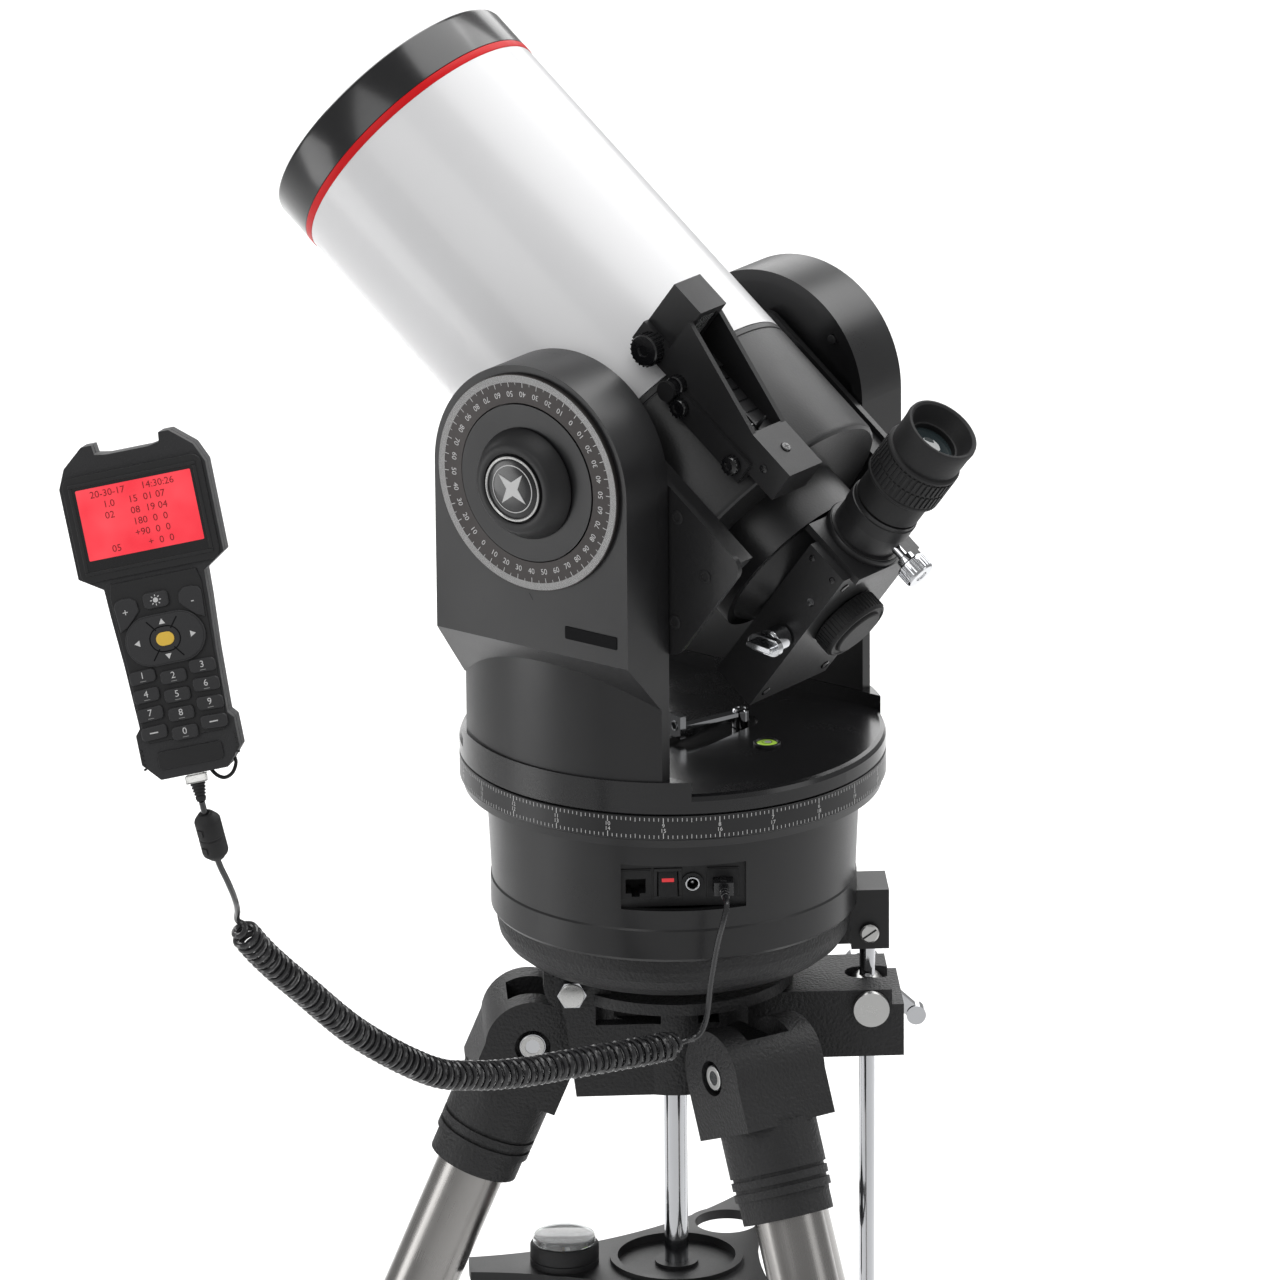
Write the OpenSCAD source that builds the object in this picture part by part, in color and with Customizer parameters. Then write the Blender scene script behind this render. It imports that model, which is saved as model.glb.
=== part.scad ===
// Computerised double-arm fork mount on an equatorial wedge and field tripod,
// with its optical tube in the fork and a handset on a curly cord.
// +Z is up, the floor is Z = 0, the azimuth axis is X = Y = 0 with the wedge level,
// and the latitude arm of the tripod head points along +X.

/* [Pose at rest] */
// Height of the wedge hinge axis over the floor
hinge_h = 625; // [620:1:635]
// Turn of the fork about its azimuth axis
fork_yaw = 39.8; // [0:0.1:60]
// Height of the tube over the horizon in degrees
tube_alt = 37.3; // [10:0.1:70]

/* [Tripod] */
// Distance of the leg pivots from the centre rod
pivot_r = 73; // [70:0.5:76]
// Drop of the leg pivots below the wedge hinge
pivot_drop = 35; // [33:0.5:37]
// Spread of each leg from the vertical
leg_spread = 22.9; // [20:0.1:25]
// Outside diameter of the upper leg tube
leg_d = 35; // [32:0.5:38]
// Diameter of the lower leg tube
inner_leg_d = 28; // [24:0.5:30]
// Diameter of the centre rod
rod_d = 12; // [10:0.5:14]
// Height of the accessory tray over the floor
tray_z = 458; // [450:1:470]
// Bore of the tray's eyepiece holes
eyepiece_hole_d = 32.2; // [32:0.1:33]

/* [Wedge] */
// Distance of the hinge from the azimuth axis
hinge_x = 54; // [52:0.5:56]
// Radius from the hinge to both ends of the latitude link
link_r = 152.5; // [150:0.5:155]
// Diameter of the latitude rod
latitude_rod_d = 8; // [7:0.5:9]
// Radius of the round wedge plate
wedge_r = 89; // [86:0.5:92]

/* [Drive base and fork] */
// Radius of the drive housing under its flange
housing_r = 92; // [90:0.5:93]
// Radius of the turntable and the azimuth circle
turn_r = 106.8; // [105:0.1:108]
// Height of the altitude axis over the wedge hinge
alt_up = 283.8; // [280:0.1:288]
// Radius of the fork arm's round top
arm_r = 58.7; // [56:0.1:61]
// Distance between the arms' outer faces
fork_w = 230; // [226:1:234]
// Distance between the arms' inner faces
fork_gap = 163; // [162:0.5:164]
// Radius of the altitude circle
circle_r = 54.7; // [52:0.1:56]

/* [Optical tube] */
// Outside diameter of the tube
tube_d = 144; // [140:1:145]
// Front end of the tube, measured from the altitude axis
tube_front = 219; // [210:1:225]
// Rear end of the tube, measured from the altitude axis
tube_rear = 72; // [70:0.5:74]
// Outside diameter of an eyepiece barrel
barrel_d = 31.75; // [31.7:0.01:31.8]

/* [Handset] */
// Thickness of the handset
handset_t = 26; // [24:0.5:28]

/* [Hidden] */

$fn = 72;

plastic = [0.13, 0.13, 0.14];
casting = [0.17, 0.17, 0.18];
steel = [0.62, 0.62, 0.61];
chrome = [0.80, 0.81, 0.83];
white = [0.90, 0.90, 0.90];
rubber = [0.08, 0.08, 0.09];

// Running gap between two bodies, and the clearance of a shaft in its bore
gap = 0.4;
fit = 0.05;

// Tripod
pivot_z = hinge_h - pivot_drop;
leg_az = [180, -60, 60];
leg_len = pivot_z / cos(leg_spread);
ear_t = 24;
casting_w = 52;
casting_r = 24;
leg_bolt_r = 4;
tube_top = 42;
tube_end = leg_len - 48;
foot_r = 15;
foot_pad_r = 13;
foot_pad_h = 9;
foot_x = pivot_r + (leg_len - 4) * sin(leg_spread);
boot_cut = 5;

// Accessory tray
tray_t = 5;
tray_reach = pivot_r + (pivot_z - tray_z) * tan(leg_spread) - leg_d / 2 / cos(leg_spread) - 4;
cup_at = 57;
cup_r = 20;
edge_r = 200;
edge_in = 42;
compass_az = 180;

// Tripod head
head_top = hinge_h - 1.5;
arm_top = hinge_h - 9;
arm_bottom = hinge_h - 44.5;
arm_end = 114;
arm_half = 26;
cheek_in = 34;
cheek_out = 42;
cheek_swing = 15.4;
head_bottom = hinge_h - 56;
hinge_pin_r = 5;
rod_low = 215;

// Latitude link: both ends lie on one circle about the hinge
swivel_dz = -18.3;
bracket_dz = 17.5;
swivel_x = -hinge_x + sqrt(link_r * link_r - swivel_dz * swivel_dz);
swivel_z = hinge_h + swivel_dz;
bracket_x = -hinge_x + sqrt(link_r * link_r - bracket_dz * bracket_dz);
bracket_z = hinge_h + bracket_dz;
rod_lean = atan2(bracket_x - swivel_x, bracket_z - swivel_z);
swivel_r = 6;
slot_half = 8.5;
lever_len = 37;
rod_below = 170;

// Drive base
seam_z = hinge_h + 33;
housing_top = hinge_h + 102.2;
circle_z = hinge_h + 102.5;
circle_h = 12.5;
spigot_r = 95;
turn_z = circle_z + circle_h + gap;
deck_z = hinge_h + 125.5;
seat_z = hinge_h + 132.5;
bearing_r = 20;
panel_z = hinge_h + 72;
panel_y = -84;
gear_z = seam_z + 46;
socket_x = [-23.6, 19.6];
jack_x = 4.6;
switch_x = -7.6;

// Fork
alt_z = hinge_h + alt_up;
arm_out = fork_w / 2;
arm_in = fork_gap / 2;
cover_t = 8.5;
shell_in = arm_in + cover_t;
arm_low = alt_z - 85.5;
chamfer_low = alt_z - 119.6;
foot_cyl_r = 105.6;
shaft_r = 12;
boss_r = 40;
ring_proud = 2.4;
knob_y = -arm_out - ring_proud - 0.8;
azimuth_lever_at = [25, 24];
azimuth_lever_turn = -18;
level_x = 55.5;
level_y = 4;

// Optical tube frame: +Z is the tube's front, +X the eyepiece side, -Y the near arm
tube_r = tube_d / 2;
barrel_r = barrel_d / 2;
eyepiece_z = -115;
plate_x = 42;
holder_top = 67;
box_z0 = -132;
box_z1 = -107;
box_half = 32;
box_low = -56;
saddle_half = 35;
saddle_rear = -103;
lever_x = -12;
lever_z = -124;
mirror_x = 15;
mirror_z = -125;
adapter_r = 44;
adapter_end = -96;

// Handset
hand_pos = [-255.5, -300, hinge_h + 297];
hand_lean = -10.4;
hand_tip = -15;
hand_turn = -7;
key_y = -handset_t / 2;
pad_z = -15.6;
key_top = -31.2;
key_pitch = [14.3, 8.9];
key_half = [6.2, 3.2];
case_half = [[10, 74], [15.5, 75], [16, 79.5], [21, 79.5], [31, 71], [35, 62], [34.8, 19], [24, 12],
  [23.5, -1], [23.5, -62], [23.5, -72], [16, -80.5]];
case_pts = concat(case_half, [for (i = [len(case_half) - 1 : -1 : 0]) [-case_half[i][0], case_half[i][1]]]);

// Curly cord: the route of the two leads and the coil, in millimetres
cord_d = 3;
coil_d = 15;
bead_at = [-238, -328, 829];
bead_dir = [46, 163];
lead_hand_pts = [[-239.2, -329.8, 834], [-236, -326, 818], [-232, -322, 801], [-227.5, -316, 788],
  [-224, -308, 777], [-223, -299, 768], [-224, -291, 760]];
coil_pts = [[-224, -291, 760], [-218, -284, 748], [-208, -275, 733], [-193, -262, 714],
  [-165, -238, 680], [-131, -210, 650], [-108, -190, 639], [-85, -172, 633], [-60, -152, 629],
  [-34, -134, 626], [-14, -120, 624], [2, -109, 624]];
lead_base_pts = [[2.8, -108.5, 624], [6.5, -106, 624.5], [10, -106, 634], [12, -109, 654],
  [15, -112, 674], [18, -114, 688], [20, -112, 695], [19.6, -106, 697]];

// Frames
module fork_frame() rotate([0, 0, -fork_yaw]) children();
module tube_frame() fork_frame() translate([0, 0, alt_z]) rotate([0, -(90 - tube_alt), 0]) children();
module leg_frame(az) rotate([0, 0, az]) translate([pivot_r, 0, pivot_z]) rotate([0, -leg_spread, 0]) children();
module hand_frame() translate(hand_pos) rotate([hand_tip, 0, 0]) rotate([0, hand_lean, 0]) rotate([0, 0, hand_turn]) children();

// A cylinder along Y, between two values of y
module y_cyl(r, y0, y1) translate([0, y1, 0]) rotate([90, 0, 0]) cylinder(r = r, h = y1 - y0);
// A cylinder along Z with a chamfered or plain rim
module ring(ro, ri, z0, z1) translate([0, 0, z0]) difference() {
  cylinder(r = ro, h = z1 - z0);
  translate([0, 0, -1]) cylinder(r = ri, h = z1 - z0 + 2);
}
// A box between two corners
module span(a, b) translate(a) cube(b - a);
// A plate in the XZ plane with round corners, between two values of y
module round_plate(a, b, r, y0, y1) {
  span([a[0] + r, y0, a[1]], [b[0] - r, y1, b[1]]);
  span([a[0], y0, a[1] + r], [b[0], y1, b[1] - r]);
  for (x = [a[0] + r, b[0] - r], z = [a[1] + r, b[1] - r]) translate([x, 0, z]) y_cyl(r, y0, y1);
}

// Sweeping a round cord along a list of points
function unit(v) = v / norm(v);
function tangent(p, i) = unit(p[min(i + 1, len(p) - 1)] - p[max(i - 1, 0)]);
function side(t) = unit(cross(t, [0.35, 1, 0.1]));
function cord_ring(c, t, r, n) = let (a = side(t), b = cross(t, a))
  [for (k = [0 : n - 1]) c + r * (cos(360 * k / n) * a + sin(360 * k / n) * b)];
function smooth_at(p, s) = let (
    i = min(floor(s), len(p) - 2), u = s - i,
    p0 = p[max(i - 1, 0)], p1 = p[i], p2 = p[i + 1], p3 = p[min(i + 2, len(p) - 1)])
  0.5 * ((2 * p1) + (p2 - p0) * u + (2 * p0 - 5 * p1 + 4 * p2 - p3) * u * u
    + (3 * p1 - p0 - 3 * p2 + p3) * u * u * u);
function smooth_path(p, n) = [for (i = [0 : n]) smooth_at(p, i * (len(p) - 1) / n)];
module sweep(p, r, n) {
  m = len(p);
  pts = [for (i = [0 : m - 1]) each cord_ring(p[i], tangent(p, i), r, n)];
  sides = [for (i = [0 : m - 2], k = [0 : n - 1])
    [i * n + k, i * n + (k + 1) % n, (i + 1) * n + (k + 1) % n, (i + 1) * n + k]];
  ends = [[for (k = [n - 1 : -1 : 0]) k], [for (k = [0 : n - 1]) (m - 1) * n + k]];
  polyhedron(points = pts, faces = concat(sides, ends), convexity = 4);
}

// ---------------------------------------------------------------- tripod

module leg_clearance(az) rotate([0, 0, az])
  span([pivot_r - casting_r - 0.6, -casting_w / 2 - 3, head_bottom - 20],
    [pivot_r + 60, casting_w / 2 + 3, hinge_h - 8.2]);

module head_ear(az) rotate([0, 0, az]) difference() {
  union() {
    span([25, -ear_t / 2, pivot_z - 13], [pivot_r, ear_t / 2, pivot_z + 13]);
    translate([pivot_r, 0, pivot_z]) y_cyl(13, -ear_t / 2, ear_t / 2);
  }
  translate([pivot_r, 0, pivot_z]) y_cyl(leg_bolt_r + fit, -ear_t, ear_t);
}

module head_cheek() rotate([90, 0, 0]) linear_extrude(cheek_out - cheek_in)
  polygon([[-63, 8], [-57, -16], [-52, head_bottom - hinge_h], [16, head_bottom - hinge_h],
    [24, arm_bottom - hinge_h], [24, head_top - hinge_h], [-34, head_top - hinge_h],
    [-44, 11], [-58, 12]]);

module tripod_head() color(plastic) {
  difference() {
    union() {
      translate([0, 0, head_bottom]) cylinder(r = 44, h = hinge_h - 7.5 - head_bottom);
      translate([0, 0, hinge_h - 7.5]) cylinder(r = 60, h = head_top - hinge_h + 7.5);
      for (s = [0, 1]) translate([0, 0, hinge_h]) mirror([0, s, 0]) translate([0, -cheek_in, 0]) head_cheek();
      span([-20, -arm_half, arm_bottom], [arm_end - 6, arm_half, arm_top]);
      span([arm_end - 7, -arm_half, arm_bottom], [arm_end, arm_half, arm_top - 8]);
    }
    for (az = leg_az) leg_clearance(az);
    // room for the wedge ears and the hinge pin
    span([-hinge_x - 16, -cheek_in, hinge_h - 17], [-hinge_x + 16, cheek_in, hinge_h + 20]);
    translate([-hinge_x, 0, hinge_h]) y_cyl(hinge_pin_r + fit, -60, 60);
    // the arm is a channel, open below, with a slot for the latitude rod
    span([62, -arm_half + 5, arm_bottom - 1], [arm_end - 6, arm_half - 5, arm_top - 5]);
    span([arm_end - 8, -slot_half, arm_bottom - 1], [arm_end + 1, slot_half, arm_bottom + 14]);
    span([swivel_x - 3, -slot_half, arm_top - 7], [swivel_x + 5, slot_half, arm_top + 1]);
    for (x = [swivel_x - 3, swivel_x + 5]) translate([x, 0, arm_top - 7]) cylinder(r = slot_half, h = 10);
    translate([swivel_x, 0, swivel_z]) {
      y_cyl(swivel_r + fit, -60, 60);
      y_cyl(swivel_r + 1, -arm_half + 5, arm_half - 5);
    }
    // recess in the front and back walls
    for (s = [-1, 1]) span([-42, s < 0 ? -cheek_out - 1 : cheek_in - 4, hinge_h - 18],
      [20, s < 0 ? -cheek_in + 4 : cheek_out + 1, hinge_h - 7.5]);
    translate([0, 0, head_bottom - 1]) cylinder(r = rod_d / 2, h = 21);
  }
  for (az = leg_az) head_ear(az);
}

module hex_bolt_head(r, h) cylinder(r = r, h = h, $fn = 6);

module head_bolts() color(chrome) {
  translate([-hinge_x, 0, hinge_h]) {
    y_cyl(hinge_pin_r, -cheek_out, cheek_out);
    for (s = [0, 1]) mirror([0, s, 0]) translate([0, -cheek_out, 0]) rotate([90, 0, 0]) hex_bolt_head(7.4, 5);
  }
  for (az = leg_az) rotate([0, 0, az]) translate([pivot_r, 0, pivot_z]) {
    y_cyl(leg_bolt_r, -20.5, 20.5);
    y_cyl(6.5, -25, -20.5);
    y_cyl(6.5, 20.5, 25);
  }
}

module center_rod() color(chrome) translate([0, 0, rod_low]) cylinder(r = rod_d / 2, h = head_bottom + 20 - rod_low);

module leg_castings(az) color(casting) leg_frame(az) {
  difference() {
    union() {
      y_cyl(casting_r, -casting_w / 2, casting_w / 2);
      span([-casting_r, -casting_w / 2, -30], [casting_r - 1, casting_w / 2, 0]);
      translate([0, 0, -76]) cylinder(r = 23, h = 10);
      translate([0, 0, -66]) cylinder(r = 24.5, h = 38);
    }
    // slot round the ear of the head
    span([-30, -ear_t / 2 - gap, -19], [19, ear_t / 2 + gap, 30]);
    y_cyl(leg_bolt_r + fit, -40, 40);
    for (s = [0, 1]) mirror([0, s, 0]) y_cyl(9, -casting_w / 2 - 1, -20.5 + gap);
    translate([0, 0, -80]) cylinder(r = leg_d / 2 + fit, h = 80 - tube_top + 0.2);
    for (k = [0 : 2]) ring(26, 23.2, -66 + 6 * k, -64 + 6 * k);
  }
  // collar and its clamp screw at the bottom of the upper tube
  difference() {
    union() {
      ring(22, leg_d / 2 + fit, -tube_end, -tube_end + 32);
      ring(22, inner_leg_d / 2 + 0.1, -tube_end - 8, -tube_end);
      translate([0, 0, -tube_end + 4]) rotate([0, -90, 0]) cylinder(r = 9, h = 34);
    }
    translate([0, 0, -tube_end]) cylinder(r = leg_d / 2 + fit, h = 40);
    translate([0, 0, -tube_end - 10]) cylinder(r = inner_leg_d / 2 + 0.1, h = 20);
  }
}

module leg_tube(az) color(steel) leg_frame(az) ring(leg_d / 2, leg_d / 2 - 1.8, -tube_end, -tube_top);

module lower_leg(az) {
  color(steel) leg_frame(az) ring(inner_leg_d / 2, inner_leg_d / 2 - 2, -leg_len + 22, -leg_len + 442);
  color(rubber) {
    difference() {
      leg_frame(az) translate([0, 0, -leg_len - 4]) cylinder(r = foot_r + 2, h = 40);
      leg_frame(az) translate([0, 0, -leg_len + 22]) cylinder(r = inner_leg_d / 2, h = 40);
      translate([0, 0, -50]) cylinder(r = 500, h = 50 + boot_cut);
    }
    rotate([0, 0, az]) translate([foot_x, 0, 0]) cylinder(r = foot_pad_r, h = foot_pad_h);
  }
}

module leg_castings_left() leg_castings(leg_az[0]);
module leg_castings_front() leg_castings(leg_az[1]);
module leg_castings_rear() leg_castings(leg_az[2]);
module leg_tube_left() leg_tube(leg_az[0]);
module leg_tube_front() leg_tube(leg_az[1]);
module leg_tube_rear() leg_tube(leg_az[2]);
module lower_leg_left() lower_leg(leg_az[0]);
module lower_leg_front() lower_leg(leg_az[1]);
module lower_leg_rear() lower_leg(leg_az[2]);

module tray() color(plastic) translate([0, 0, tray_z]) difference() {
  union() {
    difference() {
      cylinder(r = tray_reach, h = tray_t, $fn = 96);
      for (a = [0, 120, 240]) rotate([0, 0, a]) translate([edge_in + edge_r, 0, -1])
        cylinder(r = edge_r, h = tray_t + 2, $fn = 180);
    }
    for (a = [60, 180, 300]) rotate([0, 0, a]) translate([cup_at, 0, 0]) cylinder(r = cup_r, h = tray_t);
    ring(34, 30, tray_t - 1, tray_t + 2.5);
    translate([0, 0, -12]) cylinder(r = 16, h = 14);
  }
  translate([0, 0, -20]) cylinder(r = rod_d / 2 + fit, h = 60);
  for (a = [60, 180, 300]) rotate([0, 0, a]) translate([cup_at, 0, -1]) cylinder(r = eyepiece_hole_d / 2, h = 20);
  ring(30, 11, tray_t - 2, tray_t + 4);
}

module tray_knob() color(plastic) translate([0, 0, tray_z - 12 - 26]) difference() {
  union() {
    cylinder(r = 15, h = 25.6);
    for (a = [0 : 60 : 300]) rotate([0, 0, a]) translate([15, 0, 0]) cylinder(r = 4, h = 14);
  }
  translate([0, 0, -1]) cylinder(r = rod_d / 2 + fit, h = 40);
}

module tray_compass() rotate([0, 0, compass_az]) translate([cup_at, 0, tray_z + tray_t]) {
  color(rubber) translate([0, 0, -7]) cylinder(r = eyepiece_hole_d / 2 - 0.2, h = 7.02);
  color(rubber) translate([0, 0, 0.02]) cylinder(r = 17.5, h = 10);
  color(white) translate([0, 0, 10.02]) cylinder(r = 16, h = 6);
}

// ---------------------------------------------------------------- wedge

module link_hole(r) rotate([0, rod_lean, 0]) cylinder(r = r, h = 400, center = true);

module latitude_swivel() color(steel) translate([swivel_x, 0, swivel_z]) difference() {
  union() {
    y_cyl(swivel_r, -arm_half - 1.5, arm_half + 12);
    y_cyl(swivel_r + 3, -6.5, 6.5);
    y_cyl(swivel_r + 3, -arm_half - 4.5, -arm_half - 0.6);
  }
  link_hole(latitude_rod_d / 2 + fit);
}

module clamp_lever() color(chrome) translate([swivel_x, 0, swivel_z]) {
  difference() {
    y_cyl(10, arm_half + gap, arm_half + 10);
    y_cyl(swivel_r + fit, 0, 80);
  }
  rotate([0, 43, 0]) {
    span([8, arm_half + 2, -3.5], [lever_len, arm_half + 8, 3.5]);
    translate([lever_len, 0, 0]) y_cyl(5, arm_half + 1, arm_half + 9);
  }
}

module latitude_rod() color(chrome) translate([bracket_x, 0, bracket_z]) {
  difference() {
    y_cyl(8.5, -5.6, 5.6);
    y_cyl(3.5 + fit, -20, 20);
  }
  rotate([0, rod_lean, 0]) difference() {
    translate([0, 0, -37 - rod_below]) cylinder(r = latitude_rod_d / 2, h = 37 + rod_below - 6);
    y_cyl(8, -5.7, 5.7);
  }
}

module latitude_bracket() translate([bracket_x, 0, 0]) {
  color(plastic) difference() {
    union() {
      span([-9, -14, bracket_z - 9], [10, 14, seam_z + 7]);
      translate([0, 0, bracket_z]) y_cyl(9, -14, 14);
    }
    span([-20, -6, bracket_z - 20], [20, 6, bracket_z + 10.5]);
    translate([0, 0, bracket_z]) y_cyl(3.5, -20, 20);
    translate([-bracket_x, 0, hinge_h + 22]) cylinder(r = wedge_r + 0.02, h = seam_z - hinge_h - 22);
    translate([-bracket_x, 0, seam_z - 0.02]) cylinder(r = housing_r + 0.02, h = 20);
  }
  color(chrome) translate([0, 0, bracket_z]) {
    y_cyl(3.5, -14, 14);
    y_cyl(5, -16, -14);
    y_cyl(5, 14, 16);
  }
}

module wedge_ear() translate([-hinge_x, 0, hinge_h]) difference() {
  union() {
    y_cyl(13.5, -cheek_in + gap, -27);
    span([-13.5, -cheek_in + gap, 0], [16, -27, 26]);
  }
  y_cyl(hinge_pin_r + fit, -60, 60);
}

module wedge_plate() color(plastic) {
  difference() {
    translate([0, 0, hinge_h]) rotate_extrude($fn = 96) polygon(concat(
      [[0, 6.5], [60, 6.5]],
      [for (a = [-80 : 16 : 0]) [60 + (wedge_r - 60) * cos(a), 26 + 19.5 * sin(a)]],
      [[wedge_r, 33], [0, 33]]));
    translate([0, 0, hinge_h + 11]) cylinder(r = 56, h = 40);
    translate([0, 0, hinge_h]) cylinder(r = 8, h = 40);
    // pockets in which the cheeks of the head swing
    for (s = [0, 1]) mirror([0, s, 0]) translate([-hinge_x, 0, hinge_h]) y_cyl(cheek_swing, -cheek_out - 0.5, -cheek_in + 0.5);
  }
  for (s = [0, 1]) mirror([0, s, 0]) wedge_ear();
  difference() {
    span([60, -14, bracket_z - 6], [bracket_x - 9, 14, seam_z - 2]);
    translate([0, 0, bracket_z - 10]) cylinder(r = 70, h = 60);
  }
}

// ---------------------------------------------------------------- drive base

module drive_housing() color(plastic) difference() {
  union() {
    translate([0, 0, seam_z]) rotate_extrude($fn = 96) polygon([[0, 0], [housing_r - 1, 0],
      [housing_r, 1.5], [housing_r, 16], [housing_r - 0.6, 17], [housing_r + 1.5, 62],
      [turn_r - 2, 65], [turn_r - 1, housing_top - seam_z], [0, housing_top - seam_z]]);
    translate([0, 0, housing_top - 1]) cylinder(r = spigot_r - fit, h = circle_h - 0.5);
  }
  translate([0, 0, seam_z + 4]) cylinder(r = housing_r - 4.5, h = housing_top - seam_z - 10);
  translate([0, 0, seam_z + 40]) cylinder(r = bearing_r + fit, h = 60);
  span([-31, -120, panel_z - 12], [31, panel_y + 3.1, panel_z + 12]);
}

module connector_panel() color(casting) difference() {
  span([-30.98, panel_y, panel_z - 11.98], [30.98, panel_y + 3, panel_z + 11.98]);
  for (x = socket_x) span([x - 7.5, -100, panel_z - 7.5], [x + 7.5, 0, panel_z + 7.5]);
  translate([jack_x, 0, panel_z]) y_cyl(5.5, -100, 0);
  span([switch_x - 5.2, -100, panel_z - 7.2], [switch_x + 5.2, 0, panel_z + 7.2]);
}

module phone_socket(x) difference() {
  span([x - 7.35, panel_y - 1, panel_z - 7.35], [x + 7.35, panel_y + 16, panel_z + 7.35]);
  span([x - 5, panel_y - 2, panel_z - 4.5], [x + 5, panel_y + 12, panel_z + 3]);
  span([x - 2, panel_y - 2, panel_z - 6.3], [x + 2, panel_y + 12, panel_z - 4]);
}

module sockets() {
  color(rubber) for (x = socket_x) phone_socket(x);
  color(rubber) translate([jack_x, 0, panel_z]) difference() {
    y_cyl(5.5, panel_y - 1.2, panel_y + 12);
    y_cyl(2.8, panel_y - 2, panel_y + 9);
  }
  color(chrome) translate([jack_x, 0, panel_z]) y_cyl(1, panel_y + 1, panel_y + 9.5);
}

module power_switch() color(rubber) translate([switch_x, panel_y + 4, panel_z]) difference() {
  intersection() {
    rotate([0, 90, 0]) cylinder(r = 7, h = 9.6, center = true);
    span([-6, -6.3, -7], [6, 7, 7]);
  }
  rotate([0, 90, 0]) cylinder(r = 1, h = 20, center = true);
}

module azimuth_motor() color(steel) {
  span([-38, 54, seam_z + 4], [38, 76, seam_z + 26]);
  translate([-22, 65, seam_z + 26]) cylinder(r = 10, h = 12);
}

module azimuth_circle() color(plastic) ring(turn_r, spigot_r, circle_z, circle_z + circle_h);

// ---------------------------------------------------------------- fork

module turntable() color(plastic) fork_frame() difference() {
  union() {
    translate([0, 0, turn_z]) rotate_extrude($fn = 96) polygon([[0, 0], [turn_r - 0.8, 0], [turn_r, 0.8],
      [turn_r, deck_z - turn_z - 3], [turn_r - 1, deck_z - turn_z - 0.8], [turn_r - 3, deck_z - turn_z],
      [0, deck_z - turn_z]]);
    translate([0, 0, seam_z + 42]) cylinder(r = bearing_r, h = 50);
    for (s = [0, 1]) mirror([0, s, 0]) intersection() {
      translate([0, 0, turn_z + 1]) cylinder(r = turn_r, h = seat_z - turn_z - 1, $fn = 96);
      span([-turn_r, -turn_r, turn_z], [turn_r, -arm_in + 1.5, seat_z]);
    }
  }
  translate([0, 0, seam_z]) cylinder(r = 10, h = 200);
  // shallow pocket round the lever, and the seat of the level
  span([11, -24, deck_z - 2.5], [33, 24, deck_z + 5]);
  for (y = [-24, 24]) translate([22, y, deck_z - 2.5]) cylinder(r = 11, h = 8);
  translate([level_x, level_y, deck_z - 4]) cylinder(r = 7, h = 8);
  translate([azimuth_lever_at[0], azimuth_lever_at[1], deck_z - 8]) cylinder(r = 3 + fit, h = 20);
}

module bubble_level() fork_frame() translate([level_x, level_y, deck_z]) {
  color(plastic) ring(6.9, 5.4, -3.9, 1.2);
  color([0.75, 0.9, 0.3]) translate([0, 0, -3.9]) cylinder(r = 5.3, h = 4.7);
}

module azimuth_lever() color(chrome) fork_frame() translate([azimuth_lever_at[0], azimuth_lever_at[1], deck_z])
  rotate([0, 0, azimuth_lever_turn]) {
    translate([0, 0, -7.5]) cylinder(r = 3, h = 12);
    translate([0, 0, -2]) cylinder(r = 4.5, h = 8);
    span([-2.6, -38, 4], [2.6, 0, 6]);
    span([-5, -41, 0.6], [5, -37.5, 12]);
  }

module azimuth_gear() color([0.78, 0.66, 0.4]) translate([0, 0, gear_z]) difference() {
  linear_extrude(8) polygon([for (i = [0 : 119]) let (r = i % 2 == 0 ? 50 : 48.2)
    [r * cos(3 * i), r * sin(3 * i)]]);
  translate([0, 0, -1]) cylinder(r = bearing_r + 0.02, h = 20);
}

module arm_solid(r, low, y0, y1) {
  translate([0, 0, alt_z]) y_cyl(r, y0, y1);
  span([-r, y0, low], [r, y1, alt_z]);
}

module arm_chamfer() hull() {
  span([-arm_r, -arm_out, arm_low - 0.1], [arm_r, -arm_in, arm_low]);
  span([-arm_r - 8.5, -arm_in - 1, chamfer_low], [arm_r, -arm_in, chamfer_low + 0.1]);
}

module fork_arm() {
  difference() {
    union() {
      arm_solid(arm_r, arm_low, -arm_out, -shell_in);
      arm_chamfer();
      intersection() {
        translate([0, 0, seat_z]) cylinder(r = foot_cyl_r, h = arm_low - seat_z - 6, $fn = 96);
        span([-foot_cyl_r, -foot_cyl_r, seat_z], [arm_r, -arm_in, arm_low]);
      }
      translate([0, 0, alt_z]) y_cyl(boss_r - gap, -arm_out - ring_proud - 0.4, -arm_out);
    }
    arm_solid(arm_r - 4, arm_low + 4, -arm_out + 4, -shell_in + 1);
    translate([0, 0, alt_z]) y_cyl(shaft_r + fit, -arm_out - 10, 0);
  }
}

module arm_cover() difference() {
  arm_solid(arm_r, arm_low + 0.02, -shell_in + 0.02, -arm_in);
  difference() {
    arm_solid(arm_r - 6, arm_low + 6, -arm_in - 2, -arm_in + 1);
    translate([0, 0, alt_z]) y_cyl(22, -arm_in - 3, -arm_in);
  }
  translate([0, 0, alt_z]) y_cyl(shaft_r + fit, -arm_out, 0);
  for (x = [-40, 40]) translate([x, 0, alt_z + 30]) y_cyl(2.6, -arm_in - 6, 0);
}

module fork_arm_near() color(plastic) fork_frame() fork_arm();
module fork_arm_far() color(plastic) fork_frame() mirror([0, 1, 0]) fork_arm();
module arm_cover_near() color(plastic) fork_frame() arm_cover();
module arm_cover_far() color(plastic) fork_frame() mirror([0, 1, 0]) arm_cover();

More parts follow.
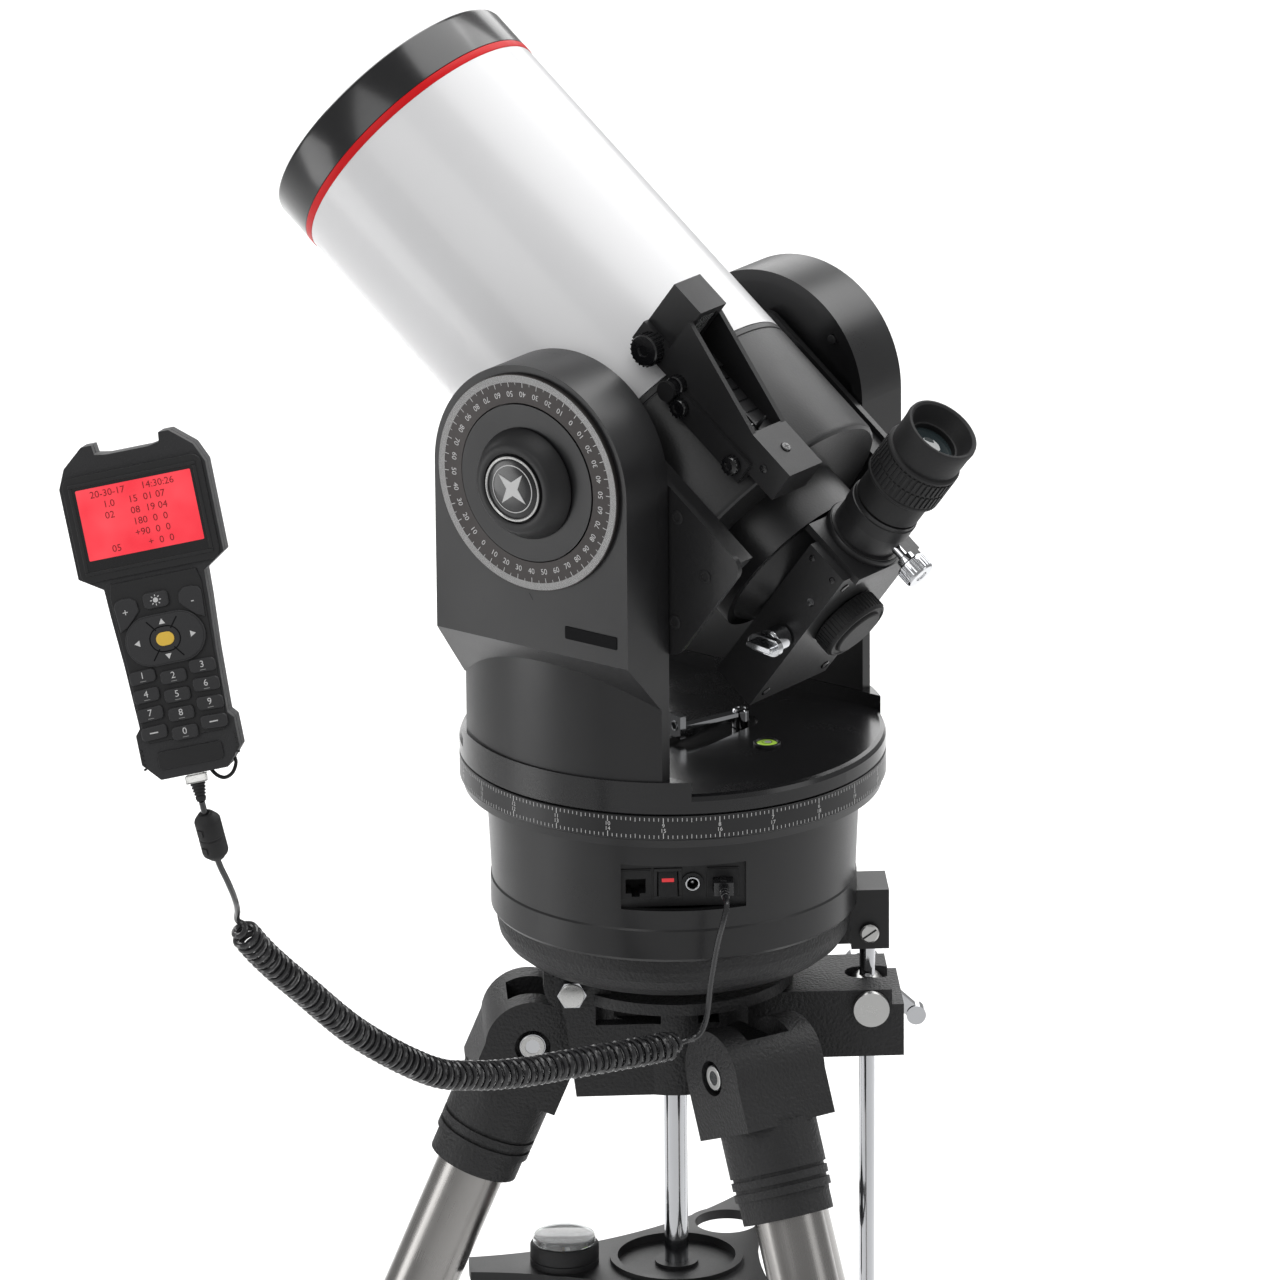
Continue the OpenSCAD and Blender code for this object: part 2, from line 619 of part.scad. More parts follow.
module altitude_circle() color([0.42, 0.4, 0.38]) fork_frame() translate([0, 0, alt_z]) difference() {
  y_cyl(circle_r, -arm_out - ring_proud, -arm_out - 0.2);
  y_cyl(boss_r, -arm_out - 10, 0);
}

module altitude_knob() color(rubber) fork_frame() translate([0, 0, alt_z]) {
  translate([0, knob_y, 0]) rotate([90, 0, 0]) difference() {
    cylinder(r1 = 27, r2 = 21, h = 10.8);
    translate([0, 0, -1]) cylinder(r = 6 + fit, h = 9);
  }
  translate([0, knob_y - 10.8, 0]) rotate([90, 0, 0]) cylinder(r = 16, h = 1);
}

module altitude_gear() color([0.78, 0.66, 0.4]) fork_frame() translate([0, 0, alt_z]) difference() {
  translate([0, -94, 0]) rotate([90, 0, 0]) linear_extrude(8) polygon([for (i = [0 : 119])
    let (r = i % 2 == 0 ? 42 : 40.4) [r * cos(3 * i), r * sin(3 * i)]]);
  y_cyl(shaft_r + 0.02, -arm_out, 0);
}

// ---------------------------------------------------------------- optical tube

module saddle() {
  // box casting on the side of the rear cell, and its raised face plate
  difference() {
    span([-saddle_half + 3, -arm_in + 4.5, saddle_rear + 5], [saddle_half - 3, -arm_in + 36.5, -2]);
    translate([0, 0, saddle_rear - 10]) cylinder(r = tube_r + 0.02, h = 200);
  }
  round_plate([-saddle_half, saddle_rear], [saddle_half, 24], 8, -arm_in + 1.2, -arm_in + 4.6);
  y_cyl(shaft_r, -arm_out + 1, -arm_in + 4);
}

module tube_saddles() color(plastic) tube_frame() {
  saddle();
  mirror([0, 1, 0]) saddle();
  // the near shaft carries the lock knob
  y_cyl(6, knob_y - 7, -arm_out + 1);
}

module optical_tube() color(white) tube_frame() ring(tube_r, tube_r - 2, 0, tube_front - 27);

module front_cell() tube_frame() {
  color([0.8, 0.05, 0.05]) ring(tube_r + 0.3, tube_r - 5, tube_front - 27, tube_front - 23);
  color(rubber) difference() {
    translate([0, 0, tube_front - 23]) cylinder(r = tube_r + 0.3, h = 23);
    translate([0, 0, tube_front - 30]) cylinder(r = 60, h = 60);
    translate([0, 0, tube_front - 17]) cylinder(r = 65, h = 60);
  }
}

module corrector_lens() tube_frame() {
  color([0.6, 0.75, 0.85, 0.4]) translate([0, 0, tube_front - 17]) cylinder(r = 64.5, h = 6);
  color(chrome) translate([0, 0, tube_front - 18]) cylinder(r = 17, h = 1);
}

module primary_mirror() color(chrome) tube_frame() ring(66, 19, -58, -44);

module rear_cell() color(plastic) tube_frame() {
  difference() {
    translate([0, 0, -tube_rear]) cylinder(r = tube_r, h = tube_rear);
    translate([0, 0, -tube_rear + 6]) cylinder(r = tube_r - 4, h = tube_rear);
    translate([0, 0, -tube_rear - 1]) cylinder(r = 18, h = 20);
  }
  // baffle tube in the middle of the mirror
  ring(18.8, 16, -tube_rear + 6, 60);
}

// Finder corners: x is the eyepiece side, y the near side
module finder() color(plastic) tube_frame() difference() {
  union() {
    span([57, -55, -85], [75, -28, -56]);
    span([60, -55, -57], [70, -28, -14]);
    span([60, -55, -15], [72, -28, 23]);
    span([68, -51, 3], [98, -30, 23]);
    // rails that fall from the hood to the rear block
    for (y = [-55, -31]) translate([0, y + 3, 0]) rotate([90, 0, 0]) linear_extrude(3)
      polygon([[69, -57], [75, -57], [92, 4], [69, 4]]);
    span([51, -58, -66], [63, -54.9, -13]);
    span([40, -54, -66], [61, -44, -20]);
    translate([58, 0, -10]) y_cyl(5, -62, -54);
    translate([64, -51, 12]) y_cyl(8, -9, 1);
  }
  // optical passage through the hood
  span([76, -47, -2], [94, -34, 30]);
  for (z = [-20, -59]) translate([57, 0, z]) y_cyl(2.6, -60, -56.5);
  translate([0, 0, -80]) cylinder(r = tube_r + 0.02, h = 160);
}

module flip_box() color(plastic) tube_frame() difference() {
  union() {
    // round adapter against the rear cell, a sloped neck, then the box
    translate([0, 0, adapter_end]) cylinder(r = adapter_r, h = -tube_rear - adapter_end);
    translate([0, 0, box_z1 - 1]) cylinder(r1 = 30, r2 = 40, h = adapter_end - box_z1 + 1.5);
    span([box_low, -box_half, box_z0], [plate_x - 3, box_half, box_z1]);
    span([plate_x - 4, -26, box_z0 - 4], [plate_x, 26, -98]);
    translate([plate_x - 6, 0, eyepiece_z]) rotate([0, 90, 0]) cylinder(r = 19.5, h = 52 - plate_x);
    translate([plate_x - 6, 0, eyepiece_z]) rotate([0, 90, 0]) cylinder(r = 17.6, h = holder_top - plate_x + 6);
  }
  // inside of the box, with the light path and the eyepiece bore
  span([box_low + 3, -box_half + 3, box_z0 + 3], [plate_x - 6, box_half - 3, box_z1 - 3]);
  span([-22, -24, -112], [20, 24, -86]);
  translate([0, 0, -90]) cylinder(r = 17, h = 40);
  translate([0, 0, box_z0 - 5]) cylinder(r = 15 + fit, h = 20);
  translate([0, 0, eyepiece_z]) rotate([0, 90, 0]) cylinder(r = barrel_r + fit, h = 100);
  translate([lever_x, 0, lever_z]) y_cyl(3 + fit, -60, 60);
  translate([mirror_x, 0, mirror_z]) y_cyl(2 + fit, -box_half - 1, box_half + 1);
  translate([52, 0, eyepiece_z]) rotate([0, 180, 0]) cylinder(r = 2.5 + fit, h = 40);
}

// The mirror leans across the light path and swings up out of it
module flip_mirror() color(chrome) tube_frame() translate([mirror_x, 0, mirror_z]) {
  y_cyl(2, -box_half + 1, box_half - 1);
  rotate([0, -45, 0]) span([-1, -18, 1], [1, 18, 36]);
}

module flip_lever() color(chrome) tube_frame() translate([lever_x, 0, lever_z]) {
  y_cyl(3, -box_half - 8, -box_half + 6);
  y_cyl(6.5, -box_half - 13, -box_half - gap);
  rotate([0, 60, 0]) span([-2.5, -box_half - 21, -8], [2.5, -box_half - 12.9, 9]);
}

module port_cap() color(rubber) tube_frame() {
  translate([0, 0, box_z0 - 12.4]) cylinder(r = 18, h = 12);
  translate([0, 0, box_z0 - 1]) cylinder(r = 15, h = 5);
}

module eyepiece() color(rubber) tube_frame() translate([0, 0, eyepiece_z]) rotate([0, 90, 0]) {
  translate([0, 0, 38]) cylinder(r = barrel_r, h = 32);
  translate([0, 0, holder_top + gap]) cylinder(r = 17.3, h = 15);
  translate([0, 0, 82]) cylinder(r = 20, h = 22);
  difference() {
    translate([0, 0, 104]) cylinder(r = 18.5, h = 18);
    translate([0, 0, 112]) cylinder(r = 13, h = 20);
  }
}

module eyepiece_screw() color(chrome) tube_frame() translate([52, 0, eyepiece_z]) rotate([0, 180, 0]) {
  translate([0, 0, barrel_r + 0.4]) cylinder(r = 2.5, h = 12);
  translate([0, 0, 24]) cylinder(r = 4.5, h = 5);
  translate([0, 0, 28]) cylinder(r = 8, h = 9);
}

// ---------------------------------------------------------------- handset

module hand_plate(pts, y0, y1) translate([0, y1, 0]) rotate([90, 0, 0]) linear_extrude(y1 - y0) polygon(pts);

// A block with round ends along X, centred at x and z
module oval(x, z, half, r, y0, y1) translate([x, 0, z]) {
  if (half > r) span([r - half, y0, -r], [half - r, y1, r]);
  for (e = [r - half, half - r]) translate([e, 0, 0]) y_cyl(r, y0, y1);
}

// Every key of the mats, grown by a clearance
module number_keys(grow, y0, y1) for (i = [-1 : 1], j = [0 : 3])
  translate([key_pitch[0] * i, 0, key_top - 2.4 * (1 - abs(i)) - key_pitch[1] * j])
    span([-key_half[0] - grow, y0, -key_half[1] - grow], [key_half[0] + grow, y1, key_half[1] + grow]);
module top_keys(grow, y0, y1) {
  span([-7 - grow, y0, -1 - grow], [5 + grow, y1, 7 + grow]);
  for (x = [-16, 16]) span([x - 4.5 - grow, y0, -3 - grow], [x + 4.5 + grow, y1, 2.5 + grow]);
}

module handset_case() color(casting) hand_frame() difference() {
  hand_plate(case_pts, -handset_t / 2, handset_t / 2);
  span([-30, -40, 21], [30, key_y + 2, 62.5]);
  // well behind the face for the mats, and the holes of the keys
  span([-22.5, key_y + 2.4, -64.5], [22.5, key_y + 7.6, 9.5]);
  number_keys(0.3, -40, key_y + 3);
  top_keys(0.3, -40, key_y + 3);
  oval(0, pad_z, 19.3, 12.3, -40, key_y + 3);
  span([-4, -10, -90], [4, -2, -70]);
}

module handset_window() color(rubber) hand_frame() span([-29.98, key_y + 0.3, 21.02], [29.98, key_y + 1.98, 62.48]);

module key_mat() color(rubber) hand_frame() {
  difference() {
    span([-22, key_y + 4, -64], [22, key_y + 5.6, 9]);
    oval(0, pad_z, 20.4, 12.8, key_y, key_y + 8);
  }
  number_keys(0, key_y - 1.2, key_y + 4.5);
  top_keys(0, key_y - 1.2, key_y + 4.5);
}

module arrow_pad() color(rubber) hand_frame() difference() {
  union() {
    oval(0, pad_z, 19, 12, key_y - 1.6, key_y + 4);
    oval(0, pad_z, 19.4, 12, key_y + 3.9, key_y + 5.6);
  }
  oval(0, pad_z, 4.7, 3.6, key_y - 5, key_y + 2.8);
  oval(0, pad_z, 5.7, 4.6, key_y + 2.79, key_y + 8);
}

module enter_key() color([0.95, 0.7, 0.1]) hand_frame() {
  oval(0, pad_z, 4.3, 3.2, key_y - 1.9, key_y + 4);
  oval(0, pad_z, 5.2, 4.1, key_y + 3.9, key_y + 5.6);
}

// ---------------------------------------------------------------- cord

module cord_lead_handset() color(rubber) sweep(smooth_path(lead_hand_pts, 14), cord_d / 2, 8);
module cord_coil() color(rubber) sweep(smooth_path(coil_pts, 34), coil_d / 2, 10);
module cord_lead_base() color(rubber) sweep(smooth_path(lead_base_pts, 16), cord_d / 2, 8);

// Plug with its boot, and the ferrite bead on the lead below it
module plug_handset() {
  color([0.7, 0.7, 0.68]) hand_frame() {
    span([-3.8, -9.8, -81.3], [3.8, -2.2, -70.2]);
    span([-5, -10.6, -85], [5, -1.4, -81.28]);
  }
  color(rubber) hand_frame() translate([0, -6, -94]) cylinder(r1 = 2.3, r2 = 3.8, h = 9.02);
  color(rubber) translate(bead_at) rotate([0, 0, bead_dir[0]]) rotate([0, bead_dir[1], 0])
    cylinder(r = 7, h = 25.6);
}

module plug_base() color(rubber) translate([socket_x[1], 0, panel_z]) {
  span([-4.8, panel_y - 9, -4.2], [4.8, panel_y + 11, 2.8]);
  y_cyl(2.6, panel_y - 22, panel_y - 9);
}

tripod_head();
head_bolts();
center_rod();
leg_castings_left();
leg_castings_front();
leg_castings_rear();
leg_tube_left();
leg_tube_front();
leg_tube_rear();
lower_leg_left();
lower_leg_front();
lower_leg_rear();
tray();
tray_knob();
tray_compass();
latitude_swivel();
clamp_lever();
latitude_rod();
wedge_plate();
latitude_bracket();
drive_housing();
azimuth_motor();
connector_panel();
sockets();
power_switch();
azimuth_circle();
turntable();
azimuth_gear();
fork_arm_near();
fork_arm_far();
arm_cover_near();
arm_cover_far();
bubble_level();
azimuth_lever();
altitude_circle();
altitude_knob();
altitude_gear();
tube_saddles();
optical_tube();
front_cell();
corrector_lens();
primary_mirror();
rear_cell();
finder();
flip_box();
flip_mirror();
flip_lever();
port_cap();
eyepiece();
eyepiece_screw();
handset_case();
handset_window();
key_mat();
arrow_pad();
enter_key();
cord_lead_handset();
cord_coil();
cord_lead_base();
plug_handset();
plug_base();
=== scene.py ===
"""Looks of the fork-mounted telescope, its wedge, tripod, handset and curly cord."""
import math

import bmesh
import bpy
from mathutils import Matrix, Vector


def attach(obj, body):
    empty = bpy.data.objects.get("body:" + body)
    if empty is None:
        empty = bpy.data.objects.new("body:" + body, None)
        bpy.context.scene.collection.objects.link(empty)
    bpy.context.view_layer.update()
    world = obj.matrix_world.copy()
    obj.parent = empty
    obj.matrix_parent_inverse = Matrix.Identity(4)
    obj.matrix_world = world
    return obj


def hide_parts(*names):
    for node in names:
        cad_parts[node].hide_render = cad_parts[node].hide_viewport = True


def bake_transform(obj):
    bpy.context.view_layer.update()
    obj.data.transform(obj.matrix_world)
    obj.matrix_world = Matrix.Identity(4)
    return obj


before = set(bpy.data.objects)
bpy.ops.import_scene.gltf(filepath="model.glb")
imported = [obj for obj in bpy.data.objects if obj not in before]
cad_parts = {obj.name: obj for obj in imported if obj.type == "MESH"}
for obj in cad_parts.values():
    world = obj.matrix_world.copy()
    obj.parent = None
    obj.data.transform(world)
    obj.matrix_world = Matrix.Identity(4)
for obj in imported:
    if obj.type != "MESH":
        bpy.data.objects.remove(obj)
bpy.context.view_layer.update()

MM = 0.001
ID = Matrix()


def T(x, y, z):
    """A shift in millimetres."""
    return Matrix.Translation((x, y, z))


def R(deg, axis):
    """A turn in degrees about an axis."""
    return Matrix.Rotation(math.radians(deg), 4, axis)


# ------------------------------------------------------------------ frames (mm)
YAW, ALT_DEG, ALT_Z, HINGE = 39.8, 37.3, 908.8, 625.0
FORK = R(-YAW, "Z")
ALT = FORK @ T(0, 0, ALT_Z)
TUBE = ALT @ R(-(90 - ALT_DEG), "Y")
HAND = T(-255.5, -300, HINGE + 297) @ R(-15, "X") @ R(-10.4, "Y") @ R(-7, "Z")
NEAR = R(90, "X")      # local z runs towards the near side, -Y
FAR = R(-90, "X")      # local z runs towards the far side, +Y
PLUS_X = R(90, "Y")    # local z runs along +X


PIVOT_R, PIVOT_Z, LEG_SPLAY = 73, 590, 22.9


def LEG(az):
    """A leg's frame at its pivot: local z runs up along the leg."""
    return R(az, "Z") @ T(PIVOT_R, 0, PIVOT_Z) @ R(-LEG_SPLAY, "Y")


LEGS = {"left": 180, "front": -60, "rear": 60}

# ------------------------------------------------------------------ camera
# fitted to the photograph: the axis that points back at the viewer, the turn about Z and the roll
CAM_PLACE = Vector((-0.28353, -5.10612, 2.53254))
CAM_BACK = Vector((-0.049556, -0.945577, 0.321610))
CAM_YAW, CAM_ROLL = math.radians(-3), math.radians(-0.495)
level_right = Vector((math.cos(CAM_YAW), math.sin(CAM_YAW), 0))
level_up = CAM_BACK.cross(level_right)
right = math.cos(CAM_ROLL) * level_right + math.sin(CAM_ROLL) * level_up
up = -math.sin(CAM_ROLL) * level_right + math.cos(CAM_ROLL) * level_up
cam_data = bpy.data.cameras.new("camera")
cam_data.lens = 304.5
cam_data.sensor_width = 36.0
cam_data.clip_end = 200
cam = bpy.data.objects.new("camera", cam_data)
bpy.context.collection.objects.link(cam)
cam_frame = Matrix((right, up, CAM_BACK)).transposed().to_4x4()
cam_frame.translation = CAM_PLACE
cam.matrix_world = cam_frame
bpy.context.scene.camera = cam


# ------------------------------------------------------------------ materials
def new_mat(name):
    mat = bpy.data.materials.new(name)
    mat.use_nodes = True
    nt = mat.node_tree
    return mat, nt, nt.nodes["Principled BSDF"]


def noise(nt, vec, scale, detail=3.0, rough=0.5):
    n = nt.nodes.new("ShaderNodeTexNoise")
    n.inputs["Scale"].default_value = scale
    n.inputs["Detail"].default_value = detail
    n.inputs["Roughness"].default_value = rough
    nt.links.new(vec, n.inputs["Vector"])
    return n.outputs["Fac"]


def ramp(nt, fac, lo, hi, a=0.3, z=0.7):
    """Maps a noise value to between two numbers."""
    n = nt.nodes.new("ShaderNodeMapRange")
    n.inputs["From Min"].default_value = a
    n.inputs["From Max"].default_value = z
    n.inputs["To Min"].default_value = lo
    n.inputs["To Max"].default_value = hi
    nt.links.new(fac, n.inputs["Value"])
    return n.outputs["Result"]


def surface(name, color, rough, metal=0.0, grain=900, bump=0.00004, vary=0.12, rough_vary=0.06,
            stretch=None, coat=0.0, coat_rough=0.05, spec=0.5, big=18, glow=0.0):
    """A procedural finish: colour drift, uneven gloss, a fine grain in relief and, when glow is set, a painted
    glow.
    """
    mat, nt, p = new_mat(name)
    tc = nt.nodes.new("ShaderNodeTexCoord")
    vec = tc.outputs["Object"]
    if stretch:
        mp = nt.nodes.new("ShaderNodeMapping")
        mp.inputs["Scale"].default_value = stretch
        nt.links.new(vec, mp.inputs["Vector"])
        fine_vec = mp.outputs["Vector"]
    else:
        fine_vec = vec
    broad = noise(nt, vec, big, 4.0)
    fine = noise(nt, fine_vec, grain, 2.0)
    mix = nt.nodes.new("ShaderNodeMix")
    mix.data_type = "RGBA"
    mix.inputs["A"].default_value = [c * (1 - vary) for c in color] + [1]
    mix.inputs["B"].default_value = [min(1, c * (1 + vary)) for c in color] + [1]
    nt.links.new(ramp(nt, broad, 0, 1), mix.inputs["Factor"])
    nt.links.new(mix.outputs["Result"], p.inputs["Base Color"])
    add = nt.nodes.new("ShaderNodeMath")
    add.operation = "ADD"
    nt.links.new(ramp(nt, broad, -rough_vary, rough_vary), add.inputs[0])
    nt.links.new(ramp(nt, fine, rough - rough_vary / 2, rough + rough_vary / 2), add.inputs[1])
    nt.links.new(add.outputs[0], p.inputs["Roughness"])
    if bump:
        bm_node = nt.nodes.new("ShaderNodeBump")
        bm_node.inputs["Strength"].default_value = 1.0
        bm_node.inputs["Distance"].default_value = bump
        nt.links.new(fine, bm_node.inputs["Height"])
        nt.links.new(bm_node.outputs["Normal"], p.inputs["Normal"])
    p.inputs["Metallic"].default_value = metal
    p.inputs["Specular IOR Level"].default_value = spec
    p.inputs["Coat Weight"].default_value = coat
    p.inputs["Coat Roughness"].default_value = coat_rough
    # painted glow: emission on a surface that is no lamp, standing in for light it does not get
    if glow:
        nt.links.new(mix.outputs["Result"], p.inputs["Emission Color"])
        p.inputs["Emission Strength"].default_value = glow
    return mat


BLACK = surface("satin_black_paint", (0.011, 0.011, 0.012), 0.36, grain=1600, bump=0.00001, coat=0.15,
                coat_rough=0.25)
DARK = surface("black_plastic", (0.014, 0.014, 0.015), 0.46, grain=1400, bump=0.00003)
CAST = surface("textured_casting", (0.018, 0.018, 0.019), 0.52, grain=620, bump=0.0007, vary=0.3)
SHELL = surface("handset_shell", (0.026, 0.026, 0.028), 0.50, grain=1500, bump=0.00015, vary=0.2)
KEY = surface("key_rubber", (0.030, 0.030, 0.032), 0.55, grain=1500, bump=0.00004, vary=0.15)
GLOSS = surface("gloss_black_paint", (0.006, 0.006, 0.007), 0.22, grain=300, bump=0, coat=0.5,
                coat_rough=0.14, rough_vary=0.03)
RUBBER = surface("black_rubber", (0.012, 0.012, 0.013), 0.62, grain=1500, bump=0.00005, vary=0.25)
CORD = surface("cord_jacket", (0.014, 0.014, 0.016), 0.26, grain=1500, bump=0, vary=0.2, coat=0.6,
               coat_rough=0.12)
WHITE = surface("white_gloss_paint", (0.84, 0.84, 0.85), 0.32, grain=220, bump=0, vary=0.012,
                coat=0.5, coat_rough=0.16, rough_vary=0.03)
RED = surface("red_gloss_paint", (0.74, 0.006, 0.010), 0.38, grain=300, bump=0, vary=0.05, spec=0.25)
CHROME = surface("polished_chrome", (0.66, 0.67, 0.69), 0.09, metal=1, grain=600, bump=0, vary=0.03,
                 rough_vary=0.03)
SATIN = surface("satin_metal", (0.62, 0.62, 0.61), 0.30, metal=1, grain=1200, bump=0.00001, vary=0.05)
STEEL = surface("brushed_steel", (0.36, 0.35, 0.34), 0.27, metal=1, grain=1.0, bump=0.000012,
                vary=0.06, rough_vary=0.05, stretch=(2400, 2400, 14))
SCALE = surface("anodised_scale", (0.052, 0.047, 0.046), 0.36, metal=0.6, grain=900, bump=0.000008,
                vary=0.08)
BRASS = surface("machined_brass", (0.72, 0.50, 0.20), 0.3, metal=1, grain=700, bump=0.00002)
GOLD = surface("gold_contact", (0.85, 0.60, 0.25), 0.22, metal=1, grain=900, bump=0)
PRINT = surface("white_print", (0.72, 0.72, 0.72), 0.5, grain=900, bump=0, vary=0.05)
GREYPRINT = surface("grey_print", (0.30, 0.30, 0.30), 0.5, grain=900, bump=0, vary=0.05)
# painted glow: the red marks emit light though they are no lamp
REDMARK = surface("red_mark_painted_glow", (0.85, 0.05, 0.06), 0.5, grain=900, bump=0, vary=0.05, glow=0.3)
PLATE = surface("black_plate", (0.004, 0.004, 0.005), 0.55, grain=900, bump=0, vary=0.1, spec=0.12)
YELLOW = surface("yellow_rubber", (0.95, 0.62, 0.08), 0.45, grain=900, bump=0.00002, vary=0.05)
# painted glow: the green liquid emits light to stand in for light that the arm's shade keeps from it
GREEN = surface("level_liquid_painted_glow", (0.50, 0.80, 0.10), 0.12, grain=200, bump=0, vary=0.15, coat=0.8, glow=0.35)
MIRROR = surface("mirror_coating", (0.88, 0.89, 0.91), 0.03, metal=1, grain=200, bump=0, vary=0.01,
                 rough_vary=0.01)
DIAL = surface("dial_face", (0.020, 0.020, 0.018), 0.5, grain=500, bump=0, vary=0.03)
LENS = surface("coated_lens", (0.03, 0.045, 0.05), 0.04, grain=100, bump=0, vary=0.2, coat=1.0,
               coat_rough=0.01, rough_vary=0.01, spec=0.8)
INK = surface("display_ink_dark", (0.30, 0.006, 0.010), 0.5, grain=700, bump=0, vary=0.1)


def glass(name, color, rough=0.03, weight=0.9):
    mat, nt, p = new_mat(name)
    tc = nt.nodes.new("ShaderNodeTexCoord")
    n = noise(nt, tc.outputs["Object"], 60, 2.0)
    nt.links.new(ramp(nt, n, rough, rough + 0.03), p.inputs["Roughness"])
    p.inputs["Base Color"].default_value = (*color, 1)
    p.inputs["Transmission Weight"].default_value = weight
    p.inputs["IOR"].default_value = 1.46
    return mat


GLASS = glass("clear_glass", (0.96, 0.98, 0.98))
CLEAR = glass("clear_plug_plastic", (0.80, 0.80, 0.78), 0.12, 0.75)


def lcd():
    """Back-lit red display with a faint cell pattern."""
    mat, nt, p = new_mat("red_display")
    tc = nt.nodes.new("ShaderNodeTexCoord")
    n = noise(nt, tc.outputs["Object"], 45, 2.0)
    mix = nt.nodes.new("ShaderNodeMix")
    mix.data_type = "RGBA"
    mix.inputs["A"].default_value = (0.86, 0.045, 0.065, 1)
    mix.inputs["B"].default_value = (0.94, 0.085, 0.105, 1)
    nt.links.new(ramp(nt, n, 0, 1), mix.inputs["Factor"])
    nt.links.new(mix.outputs["Result"], p.inputs["Base Color"])
    nt.links.new(mix.outputs["Result"], p.inputs["Emission Color"])
    p.inputs["Emission Strength"].default_value = 0.5
    p.inputs["Roughness"].default_value = 0.4
    p.inputs["Specular IOR Level"].default_value = 0.1
    return mat


LCD = lcd()


# ------------------------------------------------------------------ mesh building
text_cache = {}


def glyphs(string):
    """Vertices and faces of a flat string, one unit high, centred on its own box."""
    if string not in text_cache:
        cu = bpy.data.curves.new("t", "FONT")
        cu.body = string
        cu.align_x = "CENTER"
        cu.align_y = "CENTER"
        cu.resolution_u = 3
        ob = bpy.data.objects.new("t", cu)
        bpy.context.collection.objects.link(ob)
        me = bpy.data.meshes.new_from_object(ob.evaluated_get(bpy.context.evaluated_depsgraph_get()))
        text_cache[string] = ([v.co.copy() for v in me.vertices], [list(q.vertices) for q in me.polygons])
        bpy.data.objects.remove(ob)
        bpy.data.curves.remove(cu)
        bpy.data.meshes.remove(me)
    return text_cache[string]


